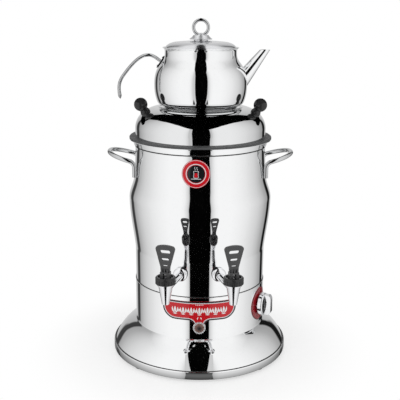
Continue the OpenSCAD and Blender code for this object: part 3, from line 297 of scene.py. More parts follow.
def brushed_metal(name, colour, rough):
    """Metal left as it was turned or brushed, with lines round the Z axis."""
    material, tree, shader, place = surface(name, Metallic=1.0, Roughness=rough)
    lines = use_group(tree, TURNED_LINES, {"Place": place})
    lined = blended(tree, 1.0, (*colour, 1), lines["Tint"], blend_type="MULTIPLY")
    feed(tree, shader, {"Base Color": lined})
    bump(tree, shader, lines["Height"], 0.00002)
    return material


def moulded(name, colour, rough, rubbed_rough, grain=2200.0, depth=0.00003, gloss=0.5):
    """Moulded plastic or rubber with a fine grain and duller rubbed patches."""
    material, tree, shader, place = surface(name, IOR=1.5, Specular_IOR_Level=gloss)
    skin = use_group(tree, MOULDED_SKIN, {"Place": place, "Grain": grain})
    rough_map = rescaled(tree, skin["Rubbed"], 0.0, 1.0, rough, rubbed_rough)
    feed(tree, shader, {"Roughness": rough_map})
    tinted(tree, shader, colour, tuple(c * 1.25 + 0.001 for c in colour), skin["Rubbed"])
    bump(tree, shader, skin["Height"], depth)
    return material


def printed(name, colour, rough=0.35):
    """Enamel print under clear lacquer: even colour with a trace of mottling."""
    material, tree, shader, place = surface(
        name, Roughness=rough, IOR=1.5, Specular_IOR_Level=0.1, Coat_Weight=0.7, Coat_Roughness=0.05
    )
    mottle = put(tree, "TexNoise", {"Vector": place, "Scale": 450.0, "Detail": 4.0}).outputs[0]
    tinted(tree, shader, colour, tuple(c * 0.86 for c in colour), mottle)
    bump(tree, shader, mottle, 0.00001)
    return material


FACET_PITCH = 2.2


def jewel(name):
    """Dark red lens of a lamp, paler towards its rim: two crossed waves cut it into small
    pyramids, and the distance from its own axis lightens it."""
    material, tree, shader, place = surface(
        name, Roughness=0.2, IOR=1.49, Specular_IOR_Level=0.3, Coat_Weight=0.12, Coat_Roughness=0.05
    )
    x, _, z = put(tree, "SeparateXYZ", {0: place}).outputs
    pitch = 2 * math.pi / (FACET_PITCH * MM)
    across, along = (
        calc(tree, "SINE", calc(tree, "MULTIPLY", calc(tree, operation, x, z), pitch))
        for operation in ("ADD", "SUBTRACT")
    )
    cut = calc(tree, "MULTIPLY", across, along)
    off = hypotenuse(tree, x, calc(tree, "SUBTRACT", z, LAMP_Z * MM))
    rim = rescaled(tree, off, 0.002, 0.008, 0.0, 1.0)
    facet = rescaled(tree, cut, -1.0, 1.0, 0.25, 1.0)
    tinted(tree, shader, (0.01, 0.003, 0.002), (0.42, 0.24, 0.2), calc(tree, "MULTIPLY", rim, facet))
    bump(tree, shader, cut, 0.0003)
    return material


def satin_metal(name, colour, rough):
    """Chrome with a soft sheen: the film's mask moves its roughness a little."""
    material, tree, shader, place = surface(name, Metallic=1.0)
    film = use_group(tree, WIPED_FILM, {"Place": place, "Low": rough, "High": rough * 1.3, "Size": 2.0})
    feed(tree, shader, {"Roughness": film["Roughness"]})
    tinted(tree, shader, colour, tuple(c * 0.96 for c in colour), film["Mask"])
    return material


STEEL = (0.93, 0.935, 0.94)
MATERIALS = {
    "polished_steel": polished_metal("polished_steel", STEEL, 0.02, 0.05, 0.00012),
    "plain_steel": brushed_metal("plain_steel", (0.62, 0.62, 0.63), 0.3),
    "chrome_fitting": polished_metal("chrome_fitting", (0.92, 0.925, 0.94), 0.03, 0.08, 0.00002),
    "black_plastic": moulded("black_plastic", (0.016, 0.016, 0.0165), 0.22, 0.34, gloss=0.4),
    "grey_rubber": moulded("grey_rubber", (0.062, 0.063, 0.065), 0.45, 0.6, 3200.0, 0.00004, gloss=0.3),
    "red_plate": printed("red_plate", (0.58, 0.006, 0.014)),
    "brass_nut": brushed_metal("brass_nut", (0.72, 0.52, 0.24), 0.28),
    "copper_tube": brushed_metal("copper_tube", (0.78, 0.42, 0.28), 0.3),
    "cream_plastic": moulded("cream_plastic", (0.72, 0.66, 0.52), 0.35, 0.5),
    "wire_sleeve": moulded("wire_sleeve", (0.32, 0.10, 0.05), 0.4, 0.55),
    "red_lens": jewel("red_lens"),
}
DOME_STEEL = polished_metal("dome_steel", (0.82, 0.825, 0.83), 0.02, 0.05, 0.00012)
LEVER_PLASTIC = moulded("lever_plastic", (0.05, 0.05, 0.051), 0.38, 0.5, gloss=0.5)
SATIN_CHROME = satin_metal("satin_chrome", (0.84, 0.845, 0.86), 0.28)
SOFT_CHROME = satin_metal("soft_chrome", (0.88, 0.885, 0.9), 0.13)
BRIGHT_RING = satin_metal("bright_ring", (0.95, 0.95, 0.96), 0.5)
# painted shade: the lid's polished steel made darker all over to stand for its darker reflections
SHADED_LID_STEEL = satin_metal("shaded_lid_steel", (0.78, 0.785, 0.8), 0.13)
# painted shade: a darker copy of the polished steel for the handles and the lid's ring, which look greyer
SHADED_ROD_STEEL = polished_metal("shaded_rod_steel", (0.62, 0.625, 0.63), 0.06, 0.1, 0.00002)
# near black for the painted shadow lines at the seam and under the lip, and for the rim's dark ring
DARK_RING_AND_SHADOW = moulded("dark_ring_and_shadow", (0.012, 0.012, 0.012), 0.5, 0.6)
# black print on the badge and the dial, and the painted shadow band along the name plate's edge
BLACK_PRINT_AND_SHADOW = printed("black_print_and_shadow", (0.01, 0.01, 0.012))
SILVER_PRINT = printed("silver_print", (0.74, 0.74, 0.76), 0.25)
WHITE_PRINT = printed("white_print", (0.86, 0.86, 0.86))
DULL_PRINT = printed("dull_print", (0.42, 0.16, 0.18))
OWN_LOOKS = {
    "dial_plate": printed("dial_red", (0.3, 0.008, 0.016)),
    "left_tap_body": SOFT_CHROME,
    "right_tap_body": SOFT_CHROME,
    "pot_lid_ring": SHADED_ROD_STEEL,
}


def dress_nodes():
    """Gives each node of the frame its own look, or else the material of its slot."""
    for part in frame["record"]["subparts"]:
        node = NODES[part["node"]]
        material = OWN_LOOKS.get(part["node"], MATERIALS[part["material_slot"]])
        if not node.material_slots:
            node.data.materials.append(material)
        for holder in node.material_slots:
            holder.material = material


# ---------- curves ----------


def arc(centre, radius, start, end, count):
    """Points of a circle about a centre, from one angle to another in degrees."""
    turn = np.radians(np.linspace(start, end, count))
    return np.array(centre) + radius * np.stack([np.cos(turn), np.sin(turn)], -1)


def arc_between(p, q, radius, count):
    """Points of the circle of a radius that bulges to the right of the way from p to q."""
    p, q = np.array(p), np.array(q)
    way = q - p
    left = np.array([-way[1], way[0]]) / np.hypot(*way)
    centre = (p + q) / 2 + left * math.sqrt(radius * radius - way @ way / 4)
    start, end = (math.degrees(math.atan2(*(v - centre)[::-1])) for v in (p, q))
    return arc(centre, radius, start, end, count)


def run(p, slope_p, q, slope_q, count):
    """Cubic run of (radius, height) from p to q, with a radius slope per height at each
    end: the Hermite blend of both ends and both slopes."""
    t = np.linspace(0, 1, count)
    rise = q[1] - p[1]
    radius = (
        (2 * t**3 - 3 * t**2 + 1) * p[0] + (t**3 - 2 * t**2 + t) * rise * slope_p
        + (3 * t**2 - 2 * t**3) * q[0] + (t**3 - t**2) * rise * slope_q
    )
    return np.stack([radius, p[1] + rise * t], -1)


def bezier(a, b, c, d, count):
    """Cubic curve pulled towards two inner points between its ends."""
    t = np.linspace(0, 1, count)[:, None]
    a, b, c, d = map(np.array, (a, b, c, d))
    return (1 - t) ** 3 * a + 3 * (1 - t) ** 2 * t * b + 3 * (1 - t) * t**2 * c + t**3 * d


def joined(*parts):
    """Point lists end to end, without the points that repeat."""
    points = np.concatenate([np.atleast_2d(np.array(part, float)) for part in parts])
    keep = np.r_[True, np.linalg.norm(np.diff(points, axis=0), axis=1) > 1e-4]
    return points[keep]


def evenly(path, count):
    """The same path with equal steps along it."""
    along = np.r_[0, np.cumsum(np.linalg.norm(np.diff(path, axis=0), axis=1))]
    steps = np.linspace(0, along[-1], count)
    return np.stack([np.interp(steps, along, column) for column in path.T], -1)


def beside(path, distance):
    """The path moved to its left by a distance, with mitred corners: each point moves
    along the sum of the two neighbouring normals."""
    way = np.diff(path, axis=0)
    way /= np.linalg.norm(way, axis=1)[:, None]
    left = np.stack([-way[:, 1], way[:, 0]], -1)
    before, after = np.vstack([left[:1], left]), np.vstack([left, left[-1:]])
    middle = before + after
    middle /= np.linalg.norm(middle, axis=1)[:, None]
    return path + middle * (distance / np.sum(middle * after, axis=1))[:, None]


# ---------- profiles of the spun bodies, as (radius, height) ----------

NECK_FOOT, NECK_SLOPE = (NECK_R + 2.9, NECK_Z), -0.08


def skirt_profile():
    """Flat lip, rim with a narrow ledge, one long full flare that runs on to a tight
    crease, and the edge that stands up against the shell."""
    slope = math.radians(FLARE_SLOPE)
    lean = np.array([math.sin(slope), math.cos(slope)])
    flare_end = np.array([SHELL_R + FLARE_FILLET, SHELL_BOTTOM]) - FLARE_FILLET * lean
    inwards = flare_end[0] - SHELL_R - CREASE_R + CREASE_R * lean[0]
    crease_z = flare_end[1] + inwards * math.tan(slope) + CREASE_R * lean[1]
    crease = np.array([SHELL_R + CREASE_R, crease_z])
    corner = [BASE_R - RIM_CORNER, RIM_TOP - RIM_CORNER]
    return joined(
        [[BASE_R - RIM_LIP, FOOT_H]], arc([BASE_R - RIM_FOOT, FOOT_H + RIM_FOOT], RIM_FOOT, -90, 0, 10),
        arc(corner, RIM_CORNER, 0, 90, 10),
        arc_between([BASE_R - RIM_LEDGE, RIM_TOP + 0.4], flare_end, FLARE_R, 70),
        arc(crease, CREASE_R, 270 - FLARE_SLOPE, 180, 10), [[SHELL_R, SHELL_BOTTOM]],
    )


def neck_wall(count):
    """The neck's wall, up to the lip."""
    return run(NECK_FOOT, NECK_SLOPE, (NECK_R, LIP_Z), -0.01, count)


def tank_profile():
    """Straight wall, swelling belly, fall to the neck, and the flared lip."""
    waist, belly = (TANK_R + 0.3, STRAIGHT_Z), (BELLY_R, BELLY_Z)
    collar = [
        [NECK_R + 0.2, LIP_Z + 2.2], [NECK_R + 2.5, LIP_Z + 4],
        [NECK_R + 3.8, LIP_TOP - 2.5], [LIP_R, LIP_TOP],
    ]
    return joined(
        np.linspace((TANK_R, SEAM_Z), waist, 20), run(waist, 0.11, belly, 0, 60),
        run(belly, 0, NECK_FOOT, NECK_SLOPE, 40), neck_wall(30), collar,
    )


def neck_radius(z):
    """Radius of the neck's wall at a height."""
    wall = neck_wall(60)
    return np.interp(z, wall[:, 1], wall[:, 0])


def dome_profile():
    """Straight wall, tight shoulder, wider crown, and the bead round the landing."""
    shoulder = np.array([DOME_R - SHOULDER_R, SHOULDER_Z])
    lean = arc([0, 0], 1, SHOULDER_TURN, SHOULDER_TURN, 1)[0]
    crown = shoulder + (SHOULDER_R - CROWN_R) * lean
    top = arc(crown, CROWN_R, SHOULDER_TURN, CROWN_TURN, 30)
    land = top[-1, 1] - 0.5
    return joined(
        [[DOME_R, LIP_TOP - 8]], arc(shoulder, SHOULDER_R, 0, SHOULDER_TURN, 50), top,
        arc([BEAD_R, land], 2, 20, 180, 20), [[HOLE_R, land], [HOLE_R, land - 6]],
    ), land


DOME_PROFILE, LAND_Z = dome_profile()
POT_Z = LAND_Z + DISC_T
POT_NECK_Z = POT_Z + POT_BELLY_UP + POT_NECK_UP


def pot_profile():
    """Rounded foot, belly, long fall to the neck, and the rim that flares on an arc."""
    corner = arc([POT_FOOT_R, POT_Z + 12], 12, -90, -20, 24)
    belly = (POT_R, POT_Z + POT_BELLY_UP)
    middle = (POT_R - 6.8, belly[1] + 31)
    high = (POT_NECK_R + 1.6, POT_NECK_Z - 10)
    flare_z = POT_NECK_Z + POT_RIM_H - POT_FLARE * math.sin(math.radians(FLARE_END))
    return joined(
        [[0, POT_Z]], corner, run(corner[-1], 0.36, belly, 0, 30), run(belly, 0, middle, -0.55, 30),
        run(middle, -0.55, high, -0.42, 18), run(high, -0.42, (POT_NECK_R, POT_NECK_Z), 0, 16),
        arc([POT_NECK_R + POT_FLARE, flare_z], POT_FLARE, 180, FLARE_END, 18),
    ), flare_z


POT_PROFILE, FLARE_Z = pot_profile()
RIM_Z = POT_PROFILE[-1, 1]
CROWN_Z = RIM_Z + LID_UP
STRAP_Z = POT_NECK_Z - 16.5


def pot_radius(z):
    """Radius of the teapot's wall at a height."""
    return np.interp(z, POT_PROFILE[1:, 1], POT_PROFILE[1:, 0])


def lid_profile():
    """Edge that rests in the rim, a quick rise, and a shallow crown."""
    edge_z = RIM_Z - 0.2
    seat_r = POT_FLARE + SHEET + 0.3
    edge_r = POT_NECK_R + POT_FLARE - math.sqrt(seat_r**2 - (edge_z - SHEET - FLARE_Z) ** 2)
    bend = POT_NECK_R - 1.2
    drop = CROWN_Z - LID_CROWN_R + math.sqrt(LID_CROWN_R**2 - LID_FLAT**2)
    crown_start = 90 - math.degrees(math.asin(LID_FLAT / LID_CROWN_R))
    return joined(
        [[edge_r, edge_z], [bend + 1, edge_z]],
        run((bend, edge_z + 0.6), -0.35, (LID_FLAT + 6, drop - 1.8), -2.4, 24),
        arc([0, CROWN_Z - LID_CROWN_R], LID_CROWN_R, crown_start, 90, 30),
    )


def cap_outline():
    """Short foot, a brim like a coin's edge, a slightly hollow slope and a domed top."""
    return joined(
        [[0, 0], [12.6, 0], [12.6, 1.2], [12.9, 1.45], [19.9, 2.15], [20.2, 2.4], [20.2, 2.8], [20.0, 3.1]],
        bezier([20.0, 3.1], [17.4, 4.6], [15.0, 6.9], [13.5, 9.3], 10), arc([0, -1.0], 14.4, 51, 90, 14),
    ) + [0, CROWN_Z]


# ---------- meshes ----------

ROD_SIDES, ROUND_STEPS = 32, 7


def grid_faces(rows, columns, wrap_rows=False, wrap_columns=False):
    """Quads of a grid of points, in row order, closed over either edge if asked."""
    i = np.arange(rows if wrap_rows else rows - 1)
    j = np.arange(columns if wrap_columns else columns - 1)
    i, j = np.meshgrid(i, j, indexing="ij")
    a, b = (i + 1) % rows, (j + 1) % columns
    return np.stack([i * columns + j, i * columns + b, a * columns + b, a * columns + j], -1).reshape(-1, 4)


def make_mesh(name, points, faces, sharp=None):
    """A mesh object from points in millimetres. Doubles are merged, faces that shrank to
    nothing go, and a closed shell whose volume comes out negative is turned."""
    mesh = bpy.data.meshes.new(name)
    mesh.from_pydata((points.reshape(-1, 3) * MM).tolist(), [], [tuple(f) for f in faces])
    shell = bmesh.new()
    shell.from_mesh(mesh)
    bmesh.ops.remove_doubles(shell, verts=shell.verts, dist=1e-7)
    bmesh.ops.dissolve_degenerate(shell, edges=shell.edges, dist=1e-8)
    if shell.calc_volume(signed=True) < 0:
        bmesh.ops.reverse_faces(shell, faces=shell.faces)
    shell.to_mesh(mesh)
    shell.free()
    mesh.shade_smooth()
    if sharp is not None:
        mesh.set_sharp_from_angle(angle=math.radians(sharp))
    return placed(name, mesh)


def settle(piece, body, slot, material=None, instead=()):
    """Lets a piece ride on its body, with its finish and the nodes that it replaces."""
    piece.data.materials.clear()
    piece.data.materials.append(material or MATERIALS[slot])
    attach(piece, body)
    if instead:
        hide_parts(*instead)
    return piece


def spun(name, outline, turns=240):
    """A closed outline of (radius, height) carried round the Z axis."""
    turn = np.linspace(0, 2 * math.pi, turns, endpoint=False)[:, None]
    radius, height = outline[:, 0], outline[:, 1]
    points = np.stack([radius * np.sin(turn), -radius * np.cos(turn), height + 0 * turn], -1)
    return make_mesh(name, points, grid_faces(turns, len(outline), True, True), sharp=28)


def walled(path):
    """A path and its inner side, as one closed outline."""
    return np.vstack([path, beside(path, SHEET)[::-1]])


def tube(rings, start=0):
    """Points and faces of rings joined in a row and closed at both ends by their middle
    points; the faces count their points from start."""
    rows, columns = rings.shape[:2]
    points = np.vstack([rings.reshape(-1, 3), rings[[0, -1]].mean(1)])
    j = np.arange(columns)
    k = (j + 1) % columns
    end = np.full_like(j, rows * columns)
    last_ring = end - columns
    parts = (
        grid_faces(rows, columns, False, True), np.stack([k, j, end], -1),
        np.stack([last_ring + j, last_ring + k, end + 1], -1),
    )
    return points, [face for part in parts for face in (part + start).tolist()]


def swept(name, rings):
    """One tube as a piece."""
    return make_mesh(name, *tube(rings), sharp=40)


def rod(name, path, across, along_width, away, round_end=False):
    """A bar of oval section swept along a path in space. The section's half sizes lie
    across the path and along the direction away; a round end shrinks on a quarter circle."""
    way = np.gradient(path, axis=0)
    way /= np.linalg.norm(way, axis=1)[:, None]
    u = np.cross(way, away)
    u /= np.linalg.norm(u, axis=1)[:, None]
    v = np.cross(way, u)
    turn = np.linspace(0, 2 * math.pi, ROD_SIDES, endpoint=False)[:, None]
    size = np.ones(len(path))
    if round_end:
        size[-ROUND_STEPS:] = np.sin(np.linspace(0.05, math.pi / 2, ROUND_STEPS))[::-1]
    section = across * np.cos(turn) * u[:, None] + along_width * np.sin(turn) * v[:, None]
    return swept(name, path[:, None] + size[:, None, None] * section)


def rounded_copy(node, name, width):
    """A copy of a node with its triangles merged into flat faces and its edges rounded."""
    mesh = NODES[node].data.copy()
    mesh.name = name
    shell = bmesh.new()
    shell.from_mesh(mesh)
    bmesh.ops.remove_doubles(shell, verts=shell.verts, dist=2e-6)
    bmesh.ops.dissolve_limit(shell, angle_limit=math.radians(0.6), verts=shell.verts, edges=shell.edges)
    shell.to_mesh(mesh)
    shell.free()
    mesh.shade_smooth()
    mesh.set_sharp_from_angle(angle=math.radians(30))
    piece = placed(name, mesh)
    bevel = piece.modifiers.new("rounding", "BEVEL")
    bevel.width, bevel.segments, bevel.limit_method = width * MM, 2, "ANGLE"
    bevel.angle_limit = math.radians(35)
    bevel.harden_normals = True
    return piece


# ---------- bodies ----------


# dark rings: painted shadow in the seam's gap and under the lip, a dark ring on the base's rim, and a bright
# bead at the seam
# painted shadow: a dark ring in the gap of the seam between tank and shell
SEAM_GAP_SHADOW = np.array([
    [TANK_R - 0.1, SEAM_Z + 0.02], [SHELL_R - 0.05, SEAM_Z + 0.02],
    [SHELL_R - 0.05, SEAM_Z + 0.9], [TANK_R - 0.1, SEAM_Z + 0.9],
])
RIM_DARK_RING = np.array([
    [BASE_R - RIM_LEDGE - 0.3, RIM_TOP - 0.2], [BASE_R - 1.3, RIM_TOP - 0.2],
    [BASE_R - 1.3, RIM_TOP + 0.25], [BASE_R - RIM_LEDGE - 0.3, RIM_TOP + 0.6],
])
# painted shadow: a dark bead that stands for the shadow line under the collar
COLLAR_SHADOW_BEAD = arc([NECK_R + 0.3, LIP_Z + 1.6], 0.5, -90, 90, 12)
SEAM_BEAD = arc([SHELL_R - 0.1, SEAM_Z - 0.5], 0.55, -90, 90, 12)


def spun_bodies():
    """The drawn and polished steel bodies, with smooth curves all the way, and the rings that
    run round them: painted shadow at the seam and under the lip, a dark ring on the rim, a bead."""
    settle(spun("skirt", walled(skirt_profile())), "boiler", "polished_steel", instead=["base_skirt"])
    settle(spun("tank_wall", walled(tank_profile())), "boiler", "polished_steel", instead=["tank"])
    settle(spun("dome", walled(DOME_PROFILE)), "dome_lid", "polished_steel", DOME_STEEL, ["dome_lid"])
    settle(spun("pot_wall", walled(POT_PROFILE)), "teapot", "polished_steel", instead=["pot_body"])
    # the lid's material is a darker copy of the polished steel, painted shade
    settle(spun("pot_cover", walled(lid_profile())), "teapot_lid", "polished_steel", SHADED_LID_STEEL, ["pot_lid"])
    cap = spun("cover_cap", cap_outline(), 120)
    settle(cap, "teapot_lid", "chrome_fitting", SATIN_CHROME, ["pot_lid_cap"])
    # the seam's and the lip's dark rings are painted shadow; the rim's ring is only dark
    for name, outline in (("seam_gap_shadow", SEAM_GAP_SHADOW), ("rim_dark_ring", RIM_DARK_RING), ("collar_shadow_bead", COLLAR_SHADOW_BEAD)):
        settle(spun(name, outline), "boiler", "grey_rubber", DARK_RING_AND_SHADOW)
    settle(spun("seam_bead", SEAM_BEAD), "boiler", "polished_steel")


def handle_path():
    """Middle line of a side handle: up beside the neck, out along a rising way, round a
    corner to the middle of the grip, and the same mirrored."""
    rise = math.radians(HANDLE_RISE)
    foot_z = NECK_Z + HANDLE_UP
    leg_r = neck_radius(foot_z) + ROD_R + FIT
    leg_x = math.sqrt(leg_r**2 - HANDLE_HALF_W**2)
    out_way = np.array([math.cos(rise), 0, math.sin(rise)])
    out_turn = math.radians(90) - rise
    out_run = HANDLE_REACH - leg_x - HANDLE_BEND * (1 - math.cos(out_turn))
    reach = out_run / math.cos(rise) - HANDLE_CORNER
    turn = np.linspace(0, out_turn, 16)[:, None]
    bend_centre = np.array([leg_x + HANDLE_BEND, HANDLE_HALF_W, foot_z + HANDLE_LEG])
    bend = bend_centre + HANDLE_BEND * np.hstack([-np.cos(turn), 0 * turn, np.sin(turn)])
    corner_centre = bend[-1] + reach * out_way - [0, HANDLE_CORNER, 0]
    turn = np.linspace(0, math.pi / 2, 24)[:, None]
    corner = corner_centre + HANDLE_CORNER * (np.sin(turn) * out_way + np.cos(turn) * [0, 1, 0])
    half = joined([[leg_x, HANDLE_HALF_W, foot_z]], bend, corner)
    return evenly(joined(half, half[::-1] * [1, -1, 1]), 150)


def side_handles():
    """A polished rod on each side; the left one is the right one's path mirrored."""
    path = handle_path()
    for name, sign in (("right", 1), ("left", -1)):
        piece = rod("grip_" + name, path * [sign, 1, 1], ROD_R, ROD_R, np.array([sign, 0, -1.0]))
        settle(piece, "boiler", "polished_steel", SHADED_ROD_STEEL, ["side_handle_" + name])


def pot_strap():
    """The teapot's handle: an oval bar on three curves, flush at its bracket and round at
    its free end."""
    root = np.array([-pot_radius(STRAP_Z) - 1.6, STRAP_Z + 1])
    crest = np.array([-97.0, POT_NECK_Z - 5.2])
    knee = np.array([-STRAP_REACH + 7, POT_NECK_Z - 42])
    end = np.array([-STRAP_REACH + 1.5, POT_NECK_Z - 83])
    line = joined(
        bezier(root, root + [-9, 6], crest + [11, 1.5], crest, 20),
        bezier(crest, crest + [-14, -2], knee + [13, 18], knee, 30),
        bezier(knee, knee + [-10, -14], end + [-2.5, 16], end, 24),
    )
    line = evenly(line, 110)
    path = np.stack([line[:, 0], 0 * line[:, 0], line[:, 1]], -1)
    thick = (3.0 + 0.9 * np.clip(np.linspace(-7, 1.0, len(path)), 0, 1) ** 2)[:, None, None]
    piece = rod("pot_grip", path, thick, STRAP_HALF_W, np.array([0, 1.0, 0]), round_end=True)
    settle(piece, "teapot", "polished_steel", SHADED_ROD_STEEL, ["pot_handle"])


def rounded_fittings():
    """Plastic and chrome fittings with their moulded or tumbled edges."""
    fittings = [
        ("thermostat_knob", "dial_knob", 0.4, "thermostat_knob", "chrome_fitting", SOFT_CHROME),
        ("lamp_bezel", "lamp_ring", 0.4, "boiler", "chrome_fitting", BRIGHT_RING),
    ]
    for side in ("right", "left"):
        lever, bonnet = side + "_tap_lever", side + "_tap_bonnet"
        fittings[:0] = [
            (lever, side + "_lever", 0.5, lever, "black_plastic", LEVER_PLASTIC),
            (bonnet, side + "_bonnet", 0.3, "boiler", "black_plastic", None),
        ]
    for node, name, width, body, slot, material in fittings:
        settle(rounded_copy(node, name, width), body, slot, material, [node])


def tap_roses():
    """A domed ring over each tap's flange: a short rim and a quarter ellipse that meets
    the arm, turned about the arm's axis."""
    rose_r, back, inside = FLANGE_R + 0.1, FLANGE_BACK + 0.1, ARM_R - 0.5
    dome = arc([0, 0], 1.0, 0, 90, 16) * [rose_r - ARM_R, ROSE_H] + [ARM_R, FLANGE_BACK + 3.1]
    outline = joined([[inside, back], [rose_r, back]], dome, [[inside, FLANGE_BACK + 8.1]])
    turn = np.linspace(0, 2 * math.pi, ROSE_SIDES, endpoint=False)[:, None]
    across, up = outline[:, 0] * np.sin(turn), outline[:, 0] * np.cos(turn) + TAP_Z
    reach = outline[:, 1]
    faces = grid_faces(ROSE_SIDES, len(outline), True, True)
    for name, sign in (("right", 1), ("left", -1)):
        a = math.radians(sign * TAP_TURN)
        x = across * math.cos(a) + reach * math.sin(a)
        y = across * math.sin(a) - reach * math.cos(a)
        piece = make_mesh(name + "_tap_rose", np.stack([x, y, up], -1), faces, sharp=40)
        settle(piece, "boiler", "chrome_fitting")


# ---------- print on the plates ----------

STROKE_SINK, STROKE_EDGE = 0.1, 0.02
TULIP = (
    ((0, -0.44), (0, 0.5), 0, 0.15), ((-0.04, -0.5), (-0.36, 0.42), 0.3, 0.11),
    ((0.04, -0.5), (0.36, 0.42), -0.3, 0.11), ((-0.3, -0.56), (0.3, -0.56), -0.1, 0.07),
)
TULIP_SIZE, TULIP_REACH, DOT_REACH = 12.6, 43.2, 36
FIELD_R, RING_R, RIM_R = 15.0, 16.6, 23.2
GLASS_SIDE = ([3.2, -7.0], [5.4, -4.0], [2.4, -1.0], [4.4, 4.6])
TICK_START, TICK_STEP, NUMBER_SIZE = 225, 13.5, 3.6


def wrapped(points, radius, turn=0.0, height=0.0):
    """Places flat points (across, up) on a round wall: across runs along the chord, and
    the depth follows the wall's radius; then all turns about the Z axis."""
    across, up = points[..., 0], points[..., 1] + height
    depth = -np.sqrt(radius**2 - across**2)
    cos, sin = math.cos(math.radians(turn)), math.sin(math.radians(turn))
    return np.stack([across * cos - depth * sin, across * sin + depth * cos, up], -1)


def stroke(path, half_width, wall, lift=0.14, turn=0.0, height=0.0, columns=9):
    """Rings of a raised stroke on a plate: the path's points are moved sideways by the
    half width times u from -1 to 1, raised by lift times the root of 1 - u to the
    fourth, and closed by a flat underside that lies in the plate."""
    way = np.gradient(path, axis=0)
    way /= np.maximum(np.linalg.norm(way, axis=1), 1e-9)[:, None]
    left = np.stack([-way[:, 1], way[:, 0]], -1)
    u = np.linspace(-1, 1, columns)
    width = np.broadcast_to(half_width, len(path))[:, None, None]
    flat = path[:, None] + width * u[None, :, None] * left[:, None]
    radius = wall(flat[..., 1] + height) if callable(wall) else wall
    top = wrapped(flat, radius + lift * np.sqrt(1 - u**4) + STROKE_EDGE, turn, height)
    low = wrapped(flat, radius - STROKE_SINK, turn, height)[:, ::-1]
    return np.concatenate([top, low], 1)


def join_strokes(name, strokes):
    """One mesh of several strokes, each closed at its ends."""
    points, faces = [], []
    for rings in strokes:
        corners, sides = tube(rings, sum(map(len, points)))
        points.append(corners)
        faces += sides
    return make_mesh(name, np.vstack(points), faces, sharp=50)


def print_plate(name, strokes, material):
    """Strokes of print on the boiler's plates, as one piece."""
    settle(join_strokes(name, strokes), "boiler", "red_plate", material)


def leaf(base, tip, bulge, width, count=14):
    """Path and half widths of a leaf: a curve from base to tip that bows sideways, as
    wide in its middle as given and pointed at both ends."""
    base, tip = np.array(base, float), np.array(tip, float)
    side = np.array([-(tip - base)[1], (tip - base)[0]])
    middle = (base + tip) / 2 + bulge * side
    t = np.linspace(0, 1, count)
    path = (1 - t)[:, None] ** 2 * base + 2 * ((1 - t) * t)[:, None] * middle + t[:, None] ** 2 * tip
    return path, np.maximum(width * np.sin(math.pi * t) ** 0.8, 0.02)


def name_edge(inset):
    """The name plate's outline moved inwards: arcs with the same centres, whose radii
    shrink where it bulges and grow where it is hollow; open where the lamp sits."""
    low = NAME_TOP - NAME_H
    half = joined(
        [[0, NAME_TOP - inset]],
        arc([NAME_HALF_W - 8, NAME_TOP - 8], 8 - inset, 90, 0, 12),
        arc([NAME_HALF_W - 22, low + 22], 22 - inset, 0, -90, 24),
        arc([20, low - 11], 11 + inset, 90, 180, 16), [[9 - inset, LAMP_Z]],
    )
    whole = evenly(joined(half[::-1] * [-1, 1], half), 700)
    return whole[np.hypot(whole[:, 0], whole[:, 1] - LAMP_Z) > BEZEL_R + 0.15]


def tulip(x, z):
    """Strokes of a small tulip: a middle leaf, two that bow outwards, and a foot."""
    strokes = []
    for shape in TULIP:
        path, half = leaf(*shape)
        strokes.append((path * TULIP_SIZE + [x, z], half * TULIP_SIZE))
    return strokes


def name_print():
    """Black edge painted as the shadow round the plate, silver line, and a row of tulips with dots, on the
    red plate.
    """
    # painted shadow: the black band stands for the shadow of the gap round the plate
    print_plate("name_edge", [stroke(name_edge(1.3), 1.3, PLATE_R, lift=0.1)], BLACK_PRINT_AND_SHADOW)
    print_plate("name_line", [stroke(name_edge(3.2), 0.75, PLATE_R, lift=0.16)], SILVER_PRINT)
    low, middle = NAME_TOP - NAME_H, NAME_TOP - NAME_H / 2
    marks = []
    for x in np.linspace(-TULIP_REACH, TULIP_REACH, 7):
        marks += tulip(x, middle + 0.6)
    for x in np.linspace(-DOT_REACH, DOT_REACH, 6):
        marks.append(leaf((x, middle - 3.4), (x, middle + 2.6), 0, 1.2))
    for x in (-6, -3, 0, 3, 6):
        marks.append(leaf((x, NAME_TOP - 7.2), (x, NAME_TOP - 4.6), 0, 0.7))
    for x, bulge in ((-3.4, 0.3), (3.4, -0.3)):
        marks.append(leaf((x, low + 1.4), (x * 0.4, low + 6.4), bulge, 0.8))
    print_plate("name_ornament", [stroke(path, half, PLATE_R) for path, half in marks], WHITE_PRINT)


def badge_wall(z):
    """Radius of the badge's face at a height."""
    return neck_radius(z) + FIT + PLATE_T


